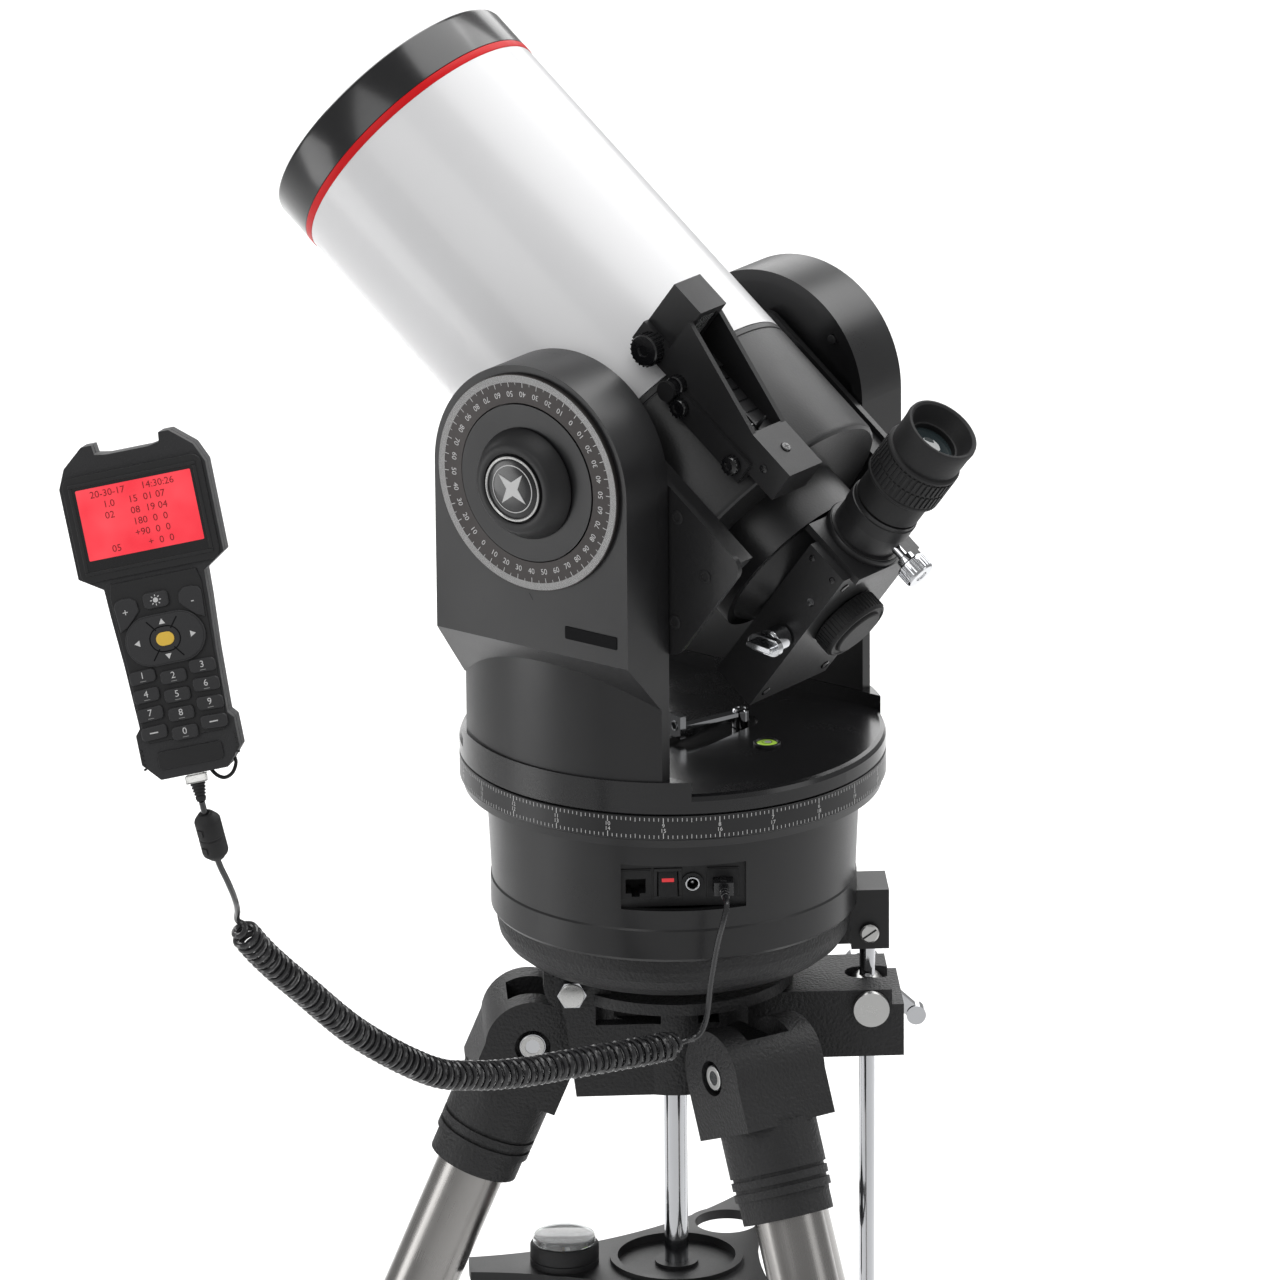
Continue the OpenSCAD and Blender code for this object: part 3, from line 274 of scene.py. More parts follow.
class Shape:
    """One piece's mesh, in millimetres in its own frame."""

    def __init__(self):
        self.bm = bmesh.new()

    def add(self, verts, faces, M=ID, mat=0):
        vs = [self.bm.verts.new(M @ Vector(v)) for v in verts]
        for f in faces:
            try:
                face = self.bm.faces.new([vs[i] for i in f])
                face.material_index = mat
                face.smooth = True
            except ValueError:
                pass

    def lathe(self, prof, M=ID, seg=96, mat=0, closed=True):
        """Turns (radius, height) points about Z. A radius of 0 closes on the axis."""
        verts, rows = [], []
        for rad, z in prof:
            if rad < 1e-6:
                rows.append([len(verts)])
                verts.append((0, 0, z))
            else:
                rows.append(list(range(len(verts), len(verts) + seg)))
                verts += [(rad * math.cos(math.tau * k / seg), rad * math.sin(math.tau * k / seg), z)
                          for k in range(seg)]
        faces = []
        pairs = list(zip(rows, rows[1:])) + ([(rows[-1], rows[0])] if closed else [])
        for a, c in pairs:
            if len(a) == 1 and len(c) == 1:
                continue
            for k in range(seg):
                j = (k + 1) % seg
                if len(a) == 1:
                    faces.append([a[0], c[j], c[k]])
                elif len(c) == 1:
                    faces.append([a[k], a[j], c[0]])
                else:
                    faces.append([a[k], a[j], c[j], c[k]])
        self.add(verts, faces, M, mat)

    def prism(self, pts, z0, z1, M=ID, mat=0):
        n = len(pts)
        verts = [(x, y, z0) for x, y in pts] + [(x, y, z1) for x, y in pts]
        faces = [list(range(n))[::-1], list(range(n, 2 * n))]
        faces += [[k, (k + 1) % n, n + (k + 1) % n, n + k] for k in range(n)]
        self.add(verts, faces, M, mat)

    def box(self, a, c, M=ID, mat=0):
        self.prism([(a[0], a[1]), (c[0], a[1]), (c[0], c[1]), (a[0], c[1])], a[2], c[2], M, mat)

    def frame(self, a, c, w, z0, z1, M=ID, mat=0):
        """A rectangular frame of bars w wide."""
        self.box((a[0], a[1], z0), (c[0], a[1] + w, z1), M, mat)
        self.box((a[0], c[1] - w, z0), (c[0], c[1], z1), M, mat)
        self.box((a[0], a[1] + w, z0), (a[0] + w, c[1] - w, z1), M, mat)
        self.box((c[0] - w, a[1] + w, z0), (c[0], c[1] - w, z1), M, mat)

    def mark(self, x0, x1, half, M, mat=0):
        """A flat printed line along X."""
        self.add([(x0, -half, 0), (x1, -half, 0), (x1, half, 0), (x0, half, 0)], [[0, 1, 2, 3]], M, mat)

    def text(self, string, size, M, mat=0):
        verts, faces = glyphs(string)
        self.add([v * size for v in verts], faces, M, mat)

    def sweep(self, pts, r, seg=8, M=ID, mat=0):
        """A round tube along points, with a frame that does not twist."""
        pts = [Vector(p) for p in pts]
        n = len(pts)
        tan = [(pts[min(i + 1, n - 1)] - pts[max(i - 1, 0)]).normalized() for i in range(n)]
        side = tan[0].orthogonal().normalized()
        verts = []
        for i in range(n):
            side = (side - side.dot(tan[i]) * tan[i]).normalized()
            other = tan[i].cross(side)
            rad = r[i] if isinstance(r, (list, tuple)) else r
            for k in range(seg):
                a = math.tau * k / seg
                verts.append(pts[i] + rad * (math.cos(a) * side + math.sin(a) * other))
        faces = [[i * seg + k, i * seg + (k + 1) % seg, (i + 1) * seg + (k + 1) % seg, (i + 1) * seg + k]
                 for i in range(n - 1) for k in range(seg)]
        faces += [list(range(seg))[::-1], [(n - 1) * seg + k for k in range(seg)]]
        self.add(verts, faces, M, mat)

    def make(self, name, M, mats, body, stands_for=(), bevel=0.0, segs=2, angle=32, ride=True):
        bmesh.ops.recalc_face_normals(self.bm, faces=self.bm.faces)
        me = bpy.data.meshes.new(name)
        self.bm.transform(Matrix.Scale(MM, 4))
        self.bm.to_mesh(me)
        self.bm.free()
        ob = bpy.data.objects.new(name, me)
        bpy.context.collection.objects.link(ob)
        world = M.copy()
        world.translation = M.translation * MM
        ob.matrix_world = world
        for mt in mats:
            me.materials.append(mt)
        me.set_sharp_from_angle(angle=math.radians(angle))
        if bevel:
            round_edges(ob, bevel, segs, angle)
        if stands_for:
            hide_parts(*stands_for)
        bpy.context.view_layer.update()
        if ride:
            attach(ob, body)
        return ob


def round_edges(ob, width_mm, segs=2, angle=32):
    bev = ob.modifiers.new("edges", "BEVEL")
    bev.width = width_mm * MM
    bev.segments = segs
    bev.limit_method = "ANGLE"
    bev.angle_limit = math.radians(angle)
    bev.harden_normals = True
    bev.use_clamp_overlap = True


def dress(node, mat, bevel=0.0, segs=2, angle=32):
    """A carried-over CAD node: its material, smooth shading and worn edges."""
    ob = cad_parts[node]
    ob.data.materials.clear()
    ob.data.materials.append(mat)
    for poly in ob.data.polygons:
        poly.use_smooth = True
        poly.material_index = 0
    ob.data.set_sharp_from_angle(angle=math.radians(28))
    if bevel:
        dec = ob.modifiers.new("merge_flats", "DECIMATE")
        dec.decimate_type = "DISSOLVE"
        dec.angle_limit = math.radians(0.6)
        round_edges(ob, bevel, segs, angle)


def rounded(a, c, r, n=6):
    """Outline of a rectangle with round corners."""
    pts = []
    for cx, cy, start in ((c[0] - r, c[1] - r, 0), (a[0] + r, c[1] - r, 90), (a[0] + r, a[1] + r, 180),
                          (c[0] - r, a[1] + r, 270)):
        for k in range(n + 1):
            t = math.radians(start + 90 * k / n)
            pts.append((cx + r * math.cos(t), cy + r * math.sin(t)))
    return pts


def oval(x, y, half, r, n=12):
    """Outline of a bar with round ends along X."""
    pts = []
    for s, start in ((1, -90), (-1, 90)):
        for k in range(n + 1):
            t = math.radians(start + 180 * k / n)
            pts.append((x + s * (half - r) + r * math.cos(t), y + r * math.sin(t)))
    return pts


def ring_of(count, radius, phase=0.0):
    return [(radius * math.cos(math.tau * k / count + phase), radius * math.sin(math.tau * k / count + phase))
            for k in range(count)]


def screw(sh, M, r=3.2, h=1.2, mat=0, dark=1, kind="cross"):
    """A pan-head screw: domed head with a cross or hex recess drawn in relief."""
    sh.lathe([(0, 0), (r, 0), (r, h * 0.45), (r * 0.86, h * 0.85), (r * 0.6, h), (0, h)], M, 32, mat,
             closed=False)
    if kind == "hex":
        sh.prism(ring_of(6, r * 0.5), h, h + 0.06, M, dark)
    else:
        sh.box((-r * 0.55, -r * 0.1, h), (r * 0.55, r * 0.1, h + 0.06), M, dark)
        sh.box((-r * 0.1, -r * 0.55, h), (r * 0.1, r * 0.55, h + 0.06), M, dark)


# ------------------------------------------------------------------ curly cord
CORD_R, CORD_STEP = 1.5, 1.4
LEAD_HAND = [(-239.2, -329.8, 834), (-236, -326, 818), (-232, -322, 801), (-227.5, -316, 788),
             (-224.4, -308.5, 777), (-223.2, -299.5, 768)]
COIL = [(-223.2, -291, 760), (-218, -284, 748), (-208, -275, 733), (-193, -262, 714), (-165, -238, 680),
        (-131, -210, 650), (-108, -190, 639), (-85, -172, 633), (-60, -152, 629), (-34, -134, 626),
        (-14, -120, 624), (0, -110, 623.6)]
LEAD_BASE = [(6.5, -106.6, 626), (10, -106.6, 635), (12, -109, 654), (15, -112, 674),
             (18, -114, 687), (19.8, -111.5, 694), (19.6, -106, 697)]


def spline(pts, per):
    """Catmull-Rom through the points, per steps to each stretch."""
    pts = [Vector(p) for p in pts]
    out = []
    for i in range(len(pts) - 1):
        p0, p1, p2, p3 = pts[max(i - 1, 0)], pts[i], pts[i + 1], pts[min(i + 2, len(pts) - 1)]
        for k in range(per):
            u = k / per
            out.append(0.5 * ((2 * p1) + (p2 - p0) * u + (2 * p0 - 5 * p1 + 4 * p2 - p3) * u * u
                              + (3 * p1 - p0 - 3 * p2 + p3) * u ** 3))
    return out + [pts[-1]]


def even(pts, step):
    """The same line with points step apart."""
    out, left = [pts[0]], step
    for a, c in zip(pts, pts[1:]):
        d = (c - a).length
        while d >= left:
            a = a.lerp(c, left / d)
            out.append(a)
            d = (c - a).length
            left = step
        left -= d
    return out


def nearest(line, point):
    """The number of the line's point that lies nearest."""
    return min(range(len(line)), key=lambda i: (line[i] - Vector(point)).length)


COIL_TURN_R, COIL_PITCH, PER_TURN, EASE_TURNS = 6.1, 4.3, 18, 3
axis_line = even(spline(LEAD_HAND + COIL + LEAD_BASE, 24), COIL_PITCH / PER_TURN)
first, last = nearest(axis_line, COIL[0]), nearest(axis_line, COIL[-1])
cord_path, side, ang = [axis_line[0]], Vector((0, 0, 1)), 0.0
for i, c in enumerate(axis_line):
    tan = (axis_line[min(i + 1, len(axis_line) - 1)] - axis_line[max(i - 1, 0)]).normalized()
    side = (side - side.dot(tan) * tan).normalized()
    other = tan.cross(side)
    # the turns wind up slowly from the straight leads, so that the wire never kinks
    ease = max(0.0, min(1.0, (i - first) / (PER_TURN * EASE_TURNS), (last - i) / (PER_TURN * EASE_TURNS)))
    ease = ease * ease * (3 - 2 * ease)
    ang += math.tau / PER_TURN * ease
    wire = c + COIL_TURN_R * ease * (math.cos(ang) * side + math.sin(ang) * other)
    if (wire - cord_path[-1]).length > CORD_STEP:
        cord_path.append(wire)
cord_path[-1] = axis_line[-1]
cord_shape = Shape()
cord_shape.sweep(cord_path, CORD_R, seg=10)
cord_piece = cord_shape.make("curly_cord", ID, [CORD], "tripod",
                             ("cord_lead_handset", "cord_coil", "cord_lead_base"), ride=False)
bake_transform(cord_piece)

# plug, boot and ferrite bead at the handset
plug = Shape()
plug.prism(rounded((-5, 1.4), (5, 10.6), 1.2), -85, -81.3, mat=1)
plug.prism(rounded((-3.8, 2.2), (3.8, 9.8), 0.8), -81.4, -70.4, mat=1)
boot = [(0, -94.2), (2.0, -94.2), (2.4, -93)]
for k in range(5):
    z, widen = -92.6 + 1.55 * k, 0.28 * k
    boot += [(2.5 + widen, z), (2.5 + widen, z + 0.9), (2.1 + widen, z + 1.05), (2.1 + widen, z + 1.5)]
boot += [(3.9, -85), (0, -85)]
plug.lathe(boot, T(0, -6, 0), 32, closed=False)
# the clear blocks were drawn at +Y, and the handset's face looks to -Y
for v in plug.bm.verts:
    if v.co.y > 0:
        v.co.y = -v.co.y
plug_piece = plug.make("handset_plug", HAND, [RUBBER, CLEAR], "tripod", ("plug_handset",),
                       bevel=0.25)
bead_dir = (Vector((-232, -322, 801)) - Vector((-238, -328, 829))).normalized()
bead_rot = bead_dir.to_track_quat("Z", "Y").to_matrix().to_4x4()
bead = Shape()
bead.lathe([(1.6, 0.4), (2.6, 0), (3.4, 0.2), (4.6, 1.6), (5.9, 3.2), (6.3, 4.2), (6.3, 12.2), (6.0, 12.5),
            (6.0, 13.1), (6.3, 13.4), (6.3, 21.4), (5.9, 22.6), (4.6, 24.0), (3.4, 25.4), (2.6, 25.6),
            (1.6, 25.2)], seg=40)
for z in (6.4, 16.6):
    bead.box((5.4, -1.6, z), (6.75, 1.6, z + 3.4))
    bead.box((-1.6, -6.75, z), (1.6, -5.4, z + 3.4))
bead_piece = bead.make("ferrite_bead", T(-237.6, -327.6, 827.4) @ bead_rot, [RUBBER], "tripod",
                       bevel=0.35)

# plug in the base's right socket
SOCKET_X, SOCKET_Z = 19.6, 697
base_plug = Shape()
base_plug.prism(rounded((-4.8, -93), (4.8, -72.5), 0.6), -4.2, 2.8, mat=0)
base_plug.box((-1.6, -92, 2.8), (1.6, -79, 3.7), mat=0)
base_plug.lathe([(0, 0), (1.7, 0), (2.1, 0.5), (2.1, 3), (1.8, 3.4), (2.3, 3.8), (2.3, 6), (2.0, 6.4),
                 (2.5, 6.9), (2.6, 13), (0, 13)], T(0, -106, 0) @ FAR, 32, closed=False)
base_plug_piece = base_plug.make("base_plug", T(SOCKET_X, 0, SOCKET_Z), [CORD], "wedge", ("plug_base",),
                                 bevel=0.3)

# ------------------------------------------------------------------ tripod
dress("tripod_head", CAST, 1.0)
dress("center_rod", CHROME, 0.6)
dress("head_bolts", CHROME, 0.5)
dress("latitude_swivel", SATIN, 0.4)
dress("clamp_lever", CHROME, 0.8)
dress("latitude_rod", CHROME, 0.3)
dress("tray", DARK, 0.6)
dress("tray_knob", DARK, 1.0)
dress("wedge_plate", CAST, 0.8)
dress("latitude_bracket", DARK, 0.8)

TUBE_END = 592.47
for name, az in LEGS.items():
    leg = Shape()
    leg.lathe([(17.5, -TUBE_END), (17.5, -42), (15.7, -42), (15.7, -TUBE_END)], seg=96)
    leg.make("upper_leg_" + name, LEG(az), [STEEL], "leg_" + name, ("leg_tube_" + name,))
    low = Shape()
    low.lathe([(14, -618), (14, -199), (12, -199), (12, -618)], seg=72)
    low.make("lower_tube_" + name, LEG(az), [STEEL], "foot_" + name)
    dress("lower_leg_" + name, RUBBER, 1.0)
    dress("leg_castings_" + name, CAST, 1.0)
    pin = Shape()
    for s in (NEAR, FAR):
        pin.lathe([(0, 20.6), (6.6, 20.6), (6.6, 24.4), (6.0, 25.2), (3.6, 25.2), (3.6, 23.0), (0, 23.0)], s,
                  40, closed=False)
        pin.prism(ring_of(6, 3.3), 22.0, 23.06, s, 1)
    pin.make("pivot_screw_" + name, R(az, "Z") @ T(PIVOT_R, 0, PIVOT_Z), [SATIN, RUBBER], "tripod",
             bevel=0.3)

# round faces on the hinge bolt and slotted screws in the latitude bracket
hinge = Shape()
slots = Shape()
for s, rot in ((-1, NEAR), (1, FAR)):
    hinge.lathe([(0, 0), (6.3, 0), (6.3, 0.5), (5.6, 0.9), (0, 0.9)], T(-54, s * 47, HINGE) @ rot, 40,
                closed=False)
    place = T(97.5, s * 16, HINGE + 17.5) @ rot @ R(35, "Z")
    slots.lathe([(0, 0), (4.8, 0), (4.8, 0.7), (4.0, 1.2), (0, 1.2)], place, 36, 0, closed=False)
    slots.box((-4.0, -0.5, 1.2), (4.0, 0.5, 1.27), place, 1)
hinge.make("hinge_bolt_faces", ID, [SATIN], "tripod", bevel=0.2)
slots.make("bracket_screws", ID, [SATIN, RUBBER], "wedge", bevel=0.15)

# compass in the left cup of the tray
comp = Shape()
comp.lathe([(0, -7), (15.8, -7), (15.8, 0.02), (17.5, 0.1), (17.5, 3), (16.9, 3.4), (17.5, 3.8), (17.5, 10),
            (16.6, 11.5), (15.2, 12.2), (14.6, 11.6), (14.6, 6.2), (0, 6.2)], seg=72, mat=0, closed=False)
comp.lathe([(0, 6.3), (14.2, 6.3), (14.2, 6.5), (0, 6.5)], seg=64, mat=1, closed=False)
for k in range(72):
    long = k % 6 == 0
    comp.box((11.6 if long else 12.6, -0.14, 6.5), (13.8, 0.14, 6.56), R(5 * k, "Z"), 2)
comp.prism([(-1.5, 0), (0, 11), (1.5, 0)], 8.2, 8.5, R(20, "Z"), 3)
comp.prism([(-1.5, 0), (1.5, 0), (0, -11)], 8.2, 8.5, R(20, "Z"), 4)
comp.lathe([(0, 6.5), (1.4, 6.5), (1.2, 9), (0, 9.2)], seg=24, mat=5, closed=False)
comp.prism([(-1.2, 11.2), (1.2, 11.2), (0, 13.8)], 6.5, 6.62, R(-60, "Z"), 6)
comp.lathe([(0, 15.9), (13.4, 15.8), (15.4, 15.0), (16.0, 13.6), (16.0, 12.1), (15.2, 12.1), (14.9, 14),
            (0, 14.7)], seg=72, mat=7, closed=False)
comp.make("tray_compass_body", T(-57, 0, 463), [RUBBER, DIAL, PRINT, REDMARK, PRINT, BRASS, GREEN, GLASS],
          "tray", ("tray_compass",))

# ------------------------------------------------------------------ drive base
dress("drive_housing", BLACK, 0.7)
dress("connector_panel", DARK, 0.4)
dress("sockets", RUBBER, 0.3)
dress("azimuth_motor", SATIN, 0.5)
dress("azimuth_gear", BRASS)
dress("altitude_gear", BRASS)

details = Shape()
for sx in (-23.6, SOCKET_X):
    for k in range(6):
        x = sx - 2.6 + 1.04 * k
        details.box((x - 0.28, -81.5, 699.3), (x + 0.28, -74, 699.9), mat=0)
    details.frame((sx - 8.0, 689.0), (sx + 8.0, 705.0), 0.9, 83.9, 84.7, NEAR, 1)
details.frame((-14.6, 689.0), (-0.6, 705.0), 1.6, 83.9, 84.7, NEAR, 1)
dc_jack = T(4.6, 0, SOCKET_Z) @ NEAR
details.lathe([(2.6, 84.0), (2.6, 85.6), (2.9, 86.0), (3.5, 86.0), (3.9, 85.4), (3.9, 84.0)], dc_jack, 40, 2)
details.lathe([(0, 83), (0.7, 83), (1.05, 82.4), (1.05, 76), (0, 76)], dc_jack, 20, 2, closed=False)
details.make("panel_details", ID, [GOLD, DARK, CHROME], "wedge", bevel=0.15)

rocker = Shape()
profile = [(-6.6, -6.9), (-6.2, -7.2), (1.5, -5.3), (6.6, -3.6), (6.9, -3.0), (6.6, 4.0), (-6.6, 4.0)]
verts = [(x, y, z) for x in (-4.7, 4.7) for z, y in profile]
n = len(profile)
rocker.add(verts, [list(range(n)), list(range(n, 2 * n))[::-1]]
           + [[k, (k + 1) % n, n + (k + 1) % n, n + k] for k in range(n)])
rocker.add([(-3.0, -5.42, 1.2), (3.0, -5.42, 1.2), (3.0, -4.85, 2.9), (-3.0, -4.85, 2.9)], [[0, 1, 2, 3]],
           ID, 1)
rocker.make("power_rocker", T(-7.6, -80, SOCKET_Z), [RUBBER, REDMARK], "switch", ("power_switch",),
            bevel=0.3)

# azimuth circle: hours in two rows and five-minute marks; hour 9 faces the camera
circle = Shape()
circle.lathe([(95, 727.5), (106.2, 727.5), (106.8, 728.1), (106.8, 739.6), (106.4, 740), (95, 740)], seg=192)
circle.make("azimuth_ring", ID, [BLACK], "circle_az", ("azimuth_circle",))
marks = Shape()
SIDE = R(90, "Z") @ NEAR
TOP_MARK, LOW_MARK, HOUR_NINE = 739.2, 728.5, -95.8
for k in range(288):
    length = 2.8 if k % 12 == 0 else (2.2 if k % 6 == 0 else 1.7)
    half = 0.2 if k % 12 == 0 else 0.15
    place = R(k * 1.25 + HOUR_NINE, "Z") @ T(106.86, 0, 0) @ SIDE
    for z0, z1 in ((TOP_MARK - length, TOP_MARK), (LOW_MARK, LOW_MARK + length)):
        marks.add([(-half, z0, 0), (half, z0, 0), (half, z1, 0), (-half, z1, 0)], [[0, 1, 2, 3]], place)
for h in range(24):
    place = R(HOUR_NINE - 15 * (h - 9), "Z") @ T(106.88, 0, 0) @ SIDE
    marks.text(str(h), 2.9, place @ T(0, 735.1, 0))
    marks.text(str((24 - h) % 24), 2.9, place @ T(0, 732.5, 0))
marks.make("azimuth_marks", ID, [PRINT], "circle_az")

# ------------------------------------------------------------------ turntable and fork
DECK = surface("polished_deck", (0.010, 0.010, 0.011), 0.24, grain=1600, bump=0.000006, coat=0.25,
               coat_rough=0.15)
DECK_Z = 750.5
dress("turntable", DECK, 0.8, 3)
for side_name in ("near", "far"):
    dress("fork_arm_" + side_name, BLACK, 1.4, 3)
    dress("arm_cover_" + side_name, BLACK, 0.7)
level = Shape()
level.lathe([(5.2, -3.9), (6.9, -3.9), (6.9, 0.9), (6.5, 1.3), (5.6, 1.3), (5.2, 0.9)], seg=48, mat=0)
level.lathe([(0, -3.0), (5.2, -3.0), (5.2, 0.5), (4.4, 0.95), (2.2, 1.2), (0, 1.25)], seg=48, mat=1,
            closed=False)
level.lathe([(2.4, 1.22), (2.65, 1.19), (2.65, 1.24), (2.4, 1.27)], seg=48, mat=2)
level.lathe([(0, 1.32), (1.3, 1.3), (1.8, 1.22), (0, 1.2)], T(0.4, 0.2, 0), 32, 3, closed=False)
level.make("bubble_vial", FORK @ T(55.5, 4, DECK_Z), [DARK, GREEN, RUBBER, PRINT], "fork", ("bubble_level",))
dress("azimuth_lever", CHROME, 0.6)
lev = Shape()
lev.lathe([(1.9, 0), (2.5, 0), (2.6, 0.25), (2.4, 0.4), (1.9, 0.3)], T(0, -41, 6.3) @ NEAR, 32, 0)
lev.prism(ring_of(6, 1.75), 0.02, 0.12, T(0, -41, 6.3) @ NEAR, 1)
lev.lathe([(0, 5.9), (4.3, 5.9), (4.3, 6.6), (3.6, 7.2), (2.4, 7.3), (2.2, 6.9), (0, 6.9)], ID, 36, 0,
          closed=False)
lev.prism(ring_of(6, 1.7), 6.88, 6.98, ID, 1)
lev.make("azimuth_lever_screws", FORK @ T(25, 24, DECK_Z) @ R(-18, "Z"), [CHROME, RUBBER], "az_lever",
         bevel=0.15)

# blank plaque and index line on the near arm, and the screws in both inner covers
ARM_FACE, SCREW_SEAT = 115.0, 81.85
trim = Shape()
trim.prism(rounded((20.6, -76.6), (52.3, -70.0), 0.8), ARM_FACE, ARM_FACE + 0.35, NEAR)
trim.add([(-1.25, -57.4, 0), (-0.95, -57.3, 0), (1.15, -60.5, 0), (0.85, -60.6, 0)], [[0, 1, 2, 3]],
         NEAR @ T(0, 0, ARM_FACE + 0.06))
trim.make("arm_plaque", ALT, [PLATE], "fork", bevel=0.2)
for side_name, rot, row in (("near", FAR, -30), ("far", NEAR, 30)):
    arm_screws = Shape()
    for x in (-40, 40):
        screw(arm_screws, rot @ T(x, row, -SCREW_SEAT), 2.4, 1.0, 0, 1, "hex")
    arm_screws.make("arm_screws_" + side_name, ALT, [RUBBER, DARK], "fork", bevel=0.2)

# altitude circle: numbers read from the rim, their tops towards the centre
ring = Shape()
ring.lathe([(40, 115.2), (54.7, 115.2), (54.7, 117.1), (54.4, 117.4), (40.3, 117.4), (40, 117.1)], NEAR, 192)
ring.make("altitude_ring", ALT, [SCALE], "circle_alt", ("altitude_circle",))
marks = Shape()
ZERO, INK_FACE = -127.3, 117.45
for k in range(720):
    marks.mark(50.6, 54.2, 0.12, NEAR @ R(k * 0.5, "Z") @ T(0, 0, INK_FACE))
for k in range(72):
    marks.mark(48.2 if k % 2 == 0 else 49.3, 50.6, 0.16 if k % 2 == 0 else 0.12,
               NEAR @ R(ZERO + 5 * k, "Z") @ T(0, 0, INK_FACE))
for k in range(36):
    value = 10 * k % 180
    value = value if value <= 90 else 180 - value
    marks.text(str(value), 4.0, NEAR @ R(ZERO + 10 * k, "Z") @ T(45.0, 0, 117.47) @ R(90, "Z"))
marks.make("altitude_marks", ALT, [PRINT], "circle_alt")

# lock knob with a plain enamel cap
knob = Shape()
knob.lathe([(0, 118.3), (27.6, 118.3), (28, 118.8), (27.6, 120.2), (24.6, 125.4), (22.8, 128.0),
            (21.6, 128.9), (18.6, 129.0), (17.7, 128.6), (17.5, 127.4), (16.9, 127.2), (16.6, 129.3),
            (15.8, 129.6), (15.2, 129.3), (14.9, 128.7), (0, 128.7)], NEAR, 128, 0, closed=False)
knob.lathe([(15.2, 129.32), (15.8, 129.62), (16.4, 129.42), (16.5, 129.2)], NEAR, 96, 1, closed=False)
knob.lathe([(0, 129.5), (8, 129.35), (14.2, 128.9), (14.6, 128.72), (0, 128.72)], NEAR, 96, 2, closed=False)
star = []
for k in range(8):
    rad = 10.4 if k % 2 == 0 else 3.4
    a = math.radians(52.7 + 45 * k)
    star.append((rad * math.cos(a), rad * math.sin(a)))
knob.prism(star, 129.2, 129.62, NEAR, 3)
knob.lathe([(11.6, 129.14), (12.1, 129.10), (12.1, 129.3), (11.6, 129.36)], NEAR, 96, 3)
knob.make("altitude_lock_knob", ALT, [DARK, SATIN, GLOSS, PRINT], "alt_knob", ("altitude_knob",),
          bevel=0.2, angle=40)

# ------------------------------------------------------------------ optical tube
REAR = surface("rear_casting", (0.016, 0.016, 0.017), 0.40, grain=900, bump=0.00006, coat=0.1, coat_rough=0.3)
tube = Shape()
tube.lathe([(72, 0), (72, 192), (70, 192), (70, 0)], seg=256)
tube.make("tube_shell", TUBE, [WHITE], "optical", ("optical_tube",))
cell = Shape()
cell.lathe([(70, 192.05), (72.2, 192.05), (72.4, 192.4), (72.4, 195.8), (72.2, 196.1), (70, 196.1)], seg=256,
           mat=1)
cell.lathe([(67, 196.2), (72.0, 196.2), (72.3, 196.5), (72.3, 216.6), (71.8, 218.2), (70.8, 219), (68.4, 219),
            (67.4, 218.4), (66.6, 215), (66.0, 209.2), (64.8, 208.4), (64.6, 203), (60, 202.6), (60, 200.5),
            (67, 200)], seg=256, mat=0)
cell.lathe([(64.9, 208.1), (66.4, 209.4), (66.4, 210.0), (63.2, 210.0), (62.8, 209.4), (62.8, 208.2)], seg=128,
           mat=2)
cell.make("front_cell_shell", TUBE, [GLOSS, RED, DARK], "optical", ("front_cell",))
lens = Shape()
front = [(64.4 * k / 16, 207.8 - 4.2 * (1 - (k / 16) ** 2)) for k in range(17)]
back = [(rad, z - 4.5) for rad, z in reversed(front)]
lens.lathe(front + back, seg=96, mat=0, closed=False)
lens.lathe([(0, 203.9), (16.4, 204.2), (16.4, 204.0), (0, 203.7)], seg=64, mat=1, closed=False)
lens.make("meniscus_lens", TUBE, [LENS, MIRROR], "optical", ("corrector_lens",))
dress("primary_mirror", MIRROR)
rear = Shape()
rear.lathe([(68, -0.2), (71.7, -0.2), (72, -0.6), (72, -3.2), (71.4, -3.6), (71.4, -4.2), (72, -4.6),
            (72, -69.0), (71.4, -70.9), (70, -71.9), (46, -72), (18, -72), (18, -66), (68, -66)], seg=256)
rear.lathe([(16, -66), (18.8, -66), (18.8, 60), (16, 60)], seg=64)
rear.make("rear_cell_shell", TUBE, [REAR], "optical", ("rear_cell",))
dress("tube_saddles", REAR, 1.6, 3)
sad = Shape()
for z, x in ((-89.7, 14.2), (-91.3, -18.3), (-60, 26), (-58, -27)):
    sad.lathe([(0, 80.3), (3.6, 80.3), (3.6, 80.75), (2.9, 81.0), (1.9, 81.0), (1.9, 80.5), (0, 80.5)],
              T(x, 0, z) @ NEAR, 32, 0, closed=False)
sad.make("saddle_screws", TUBE, [RUBBER], "optical", bevel=0.15)

# finder: sight tube block, rails, adjusting screws and the brightness wheel
dress("finder", DARK, 0.9, 3)
fin = Shape()
for z in (-20, -59):
    fin.lathe([(0, 57.8), (4.4, 57.8), (4.8, 58.3), (4.8, 60.6), (4.2, 61.6), (2.4, 61.9), (2.2, 61.1),
               (0, 61.1)], T(56, 0, z) @ NEAR, 32, 0, closed=False)
    for k in range(14):
        fin.box((4.6, -0.35, 58.4), (5.05, 0.35, 61.2), T(56, 0, z) @ NEAR @ R(360 * k / 14, "Z"), 0)
fin.lathe([(0, 52), (7.6, 52), (8.0, 52.6), (8.0, 60.4), (7.4, 61.2), (3.0, 61.4), (2.6, 60.6), (0, 60.6)],
          T(64, 0, 12) @ NEAR, 48, 0, closed=False)
for k in range(22):
    fin.box((7.8, -0.42, 53), (8.5, 0.42, 60.4), T(64, 0, 12) @ NEAR @ R(360 * k / 22, "Z"), 0)
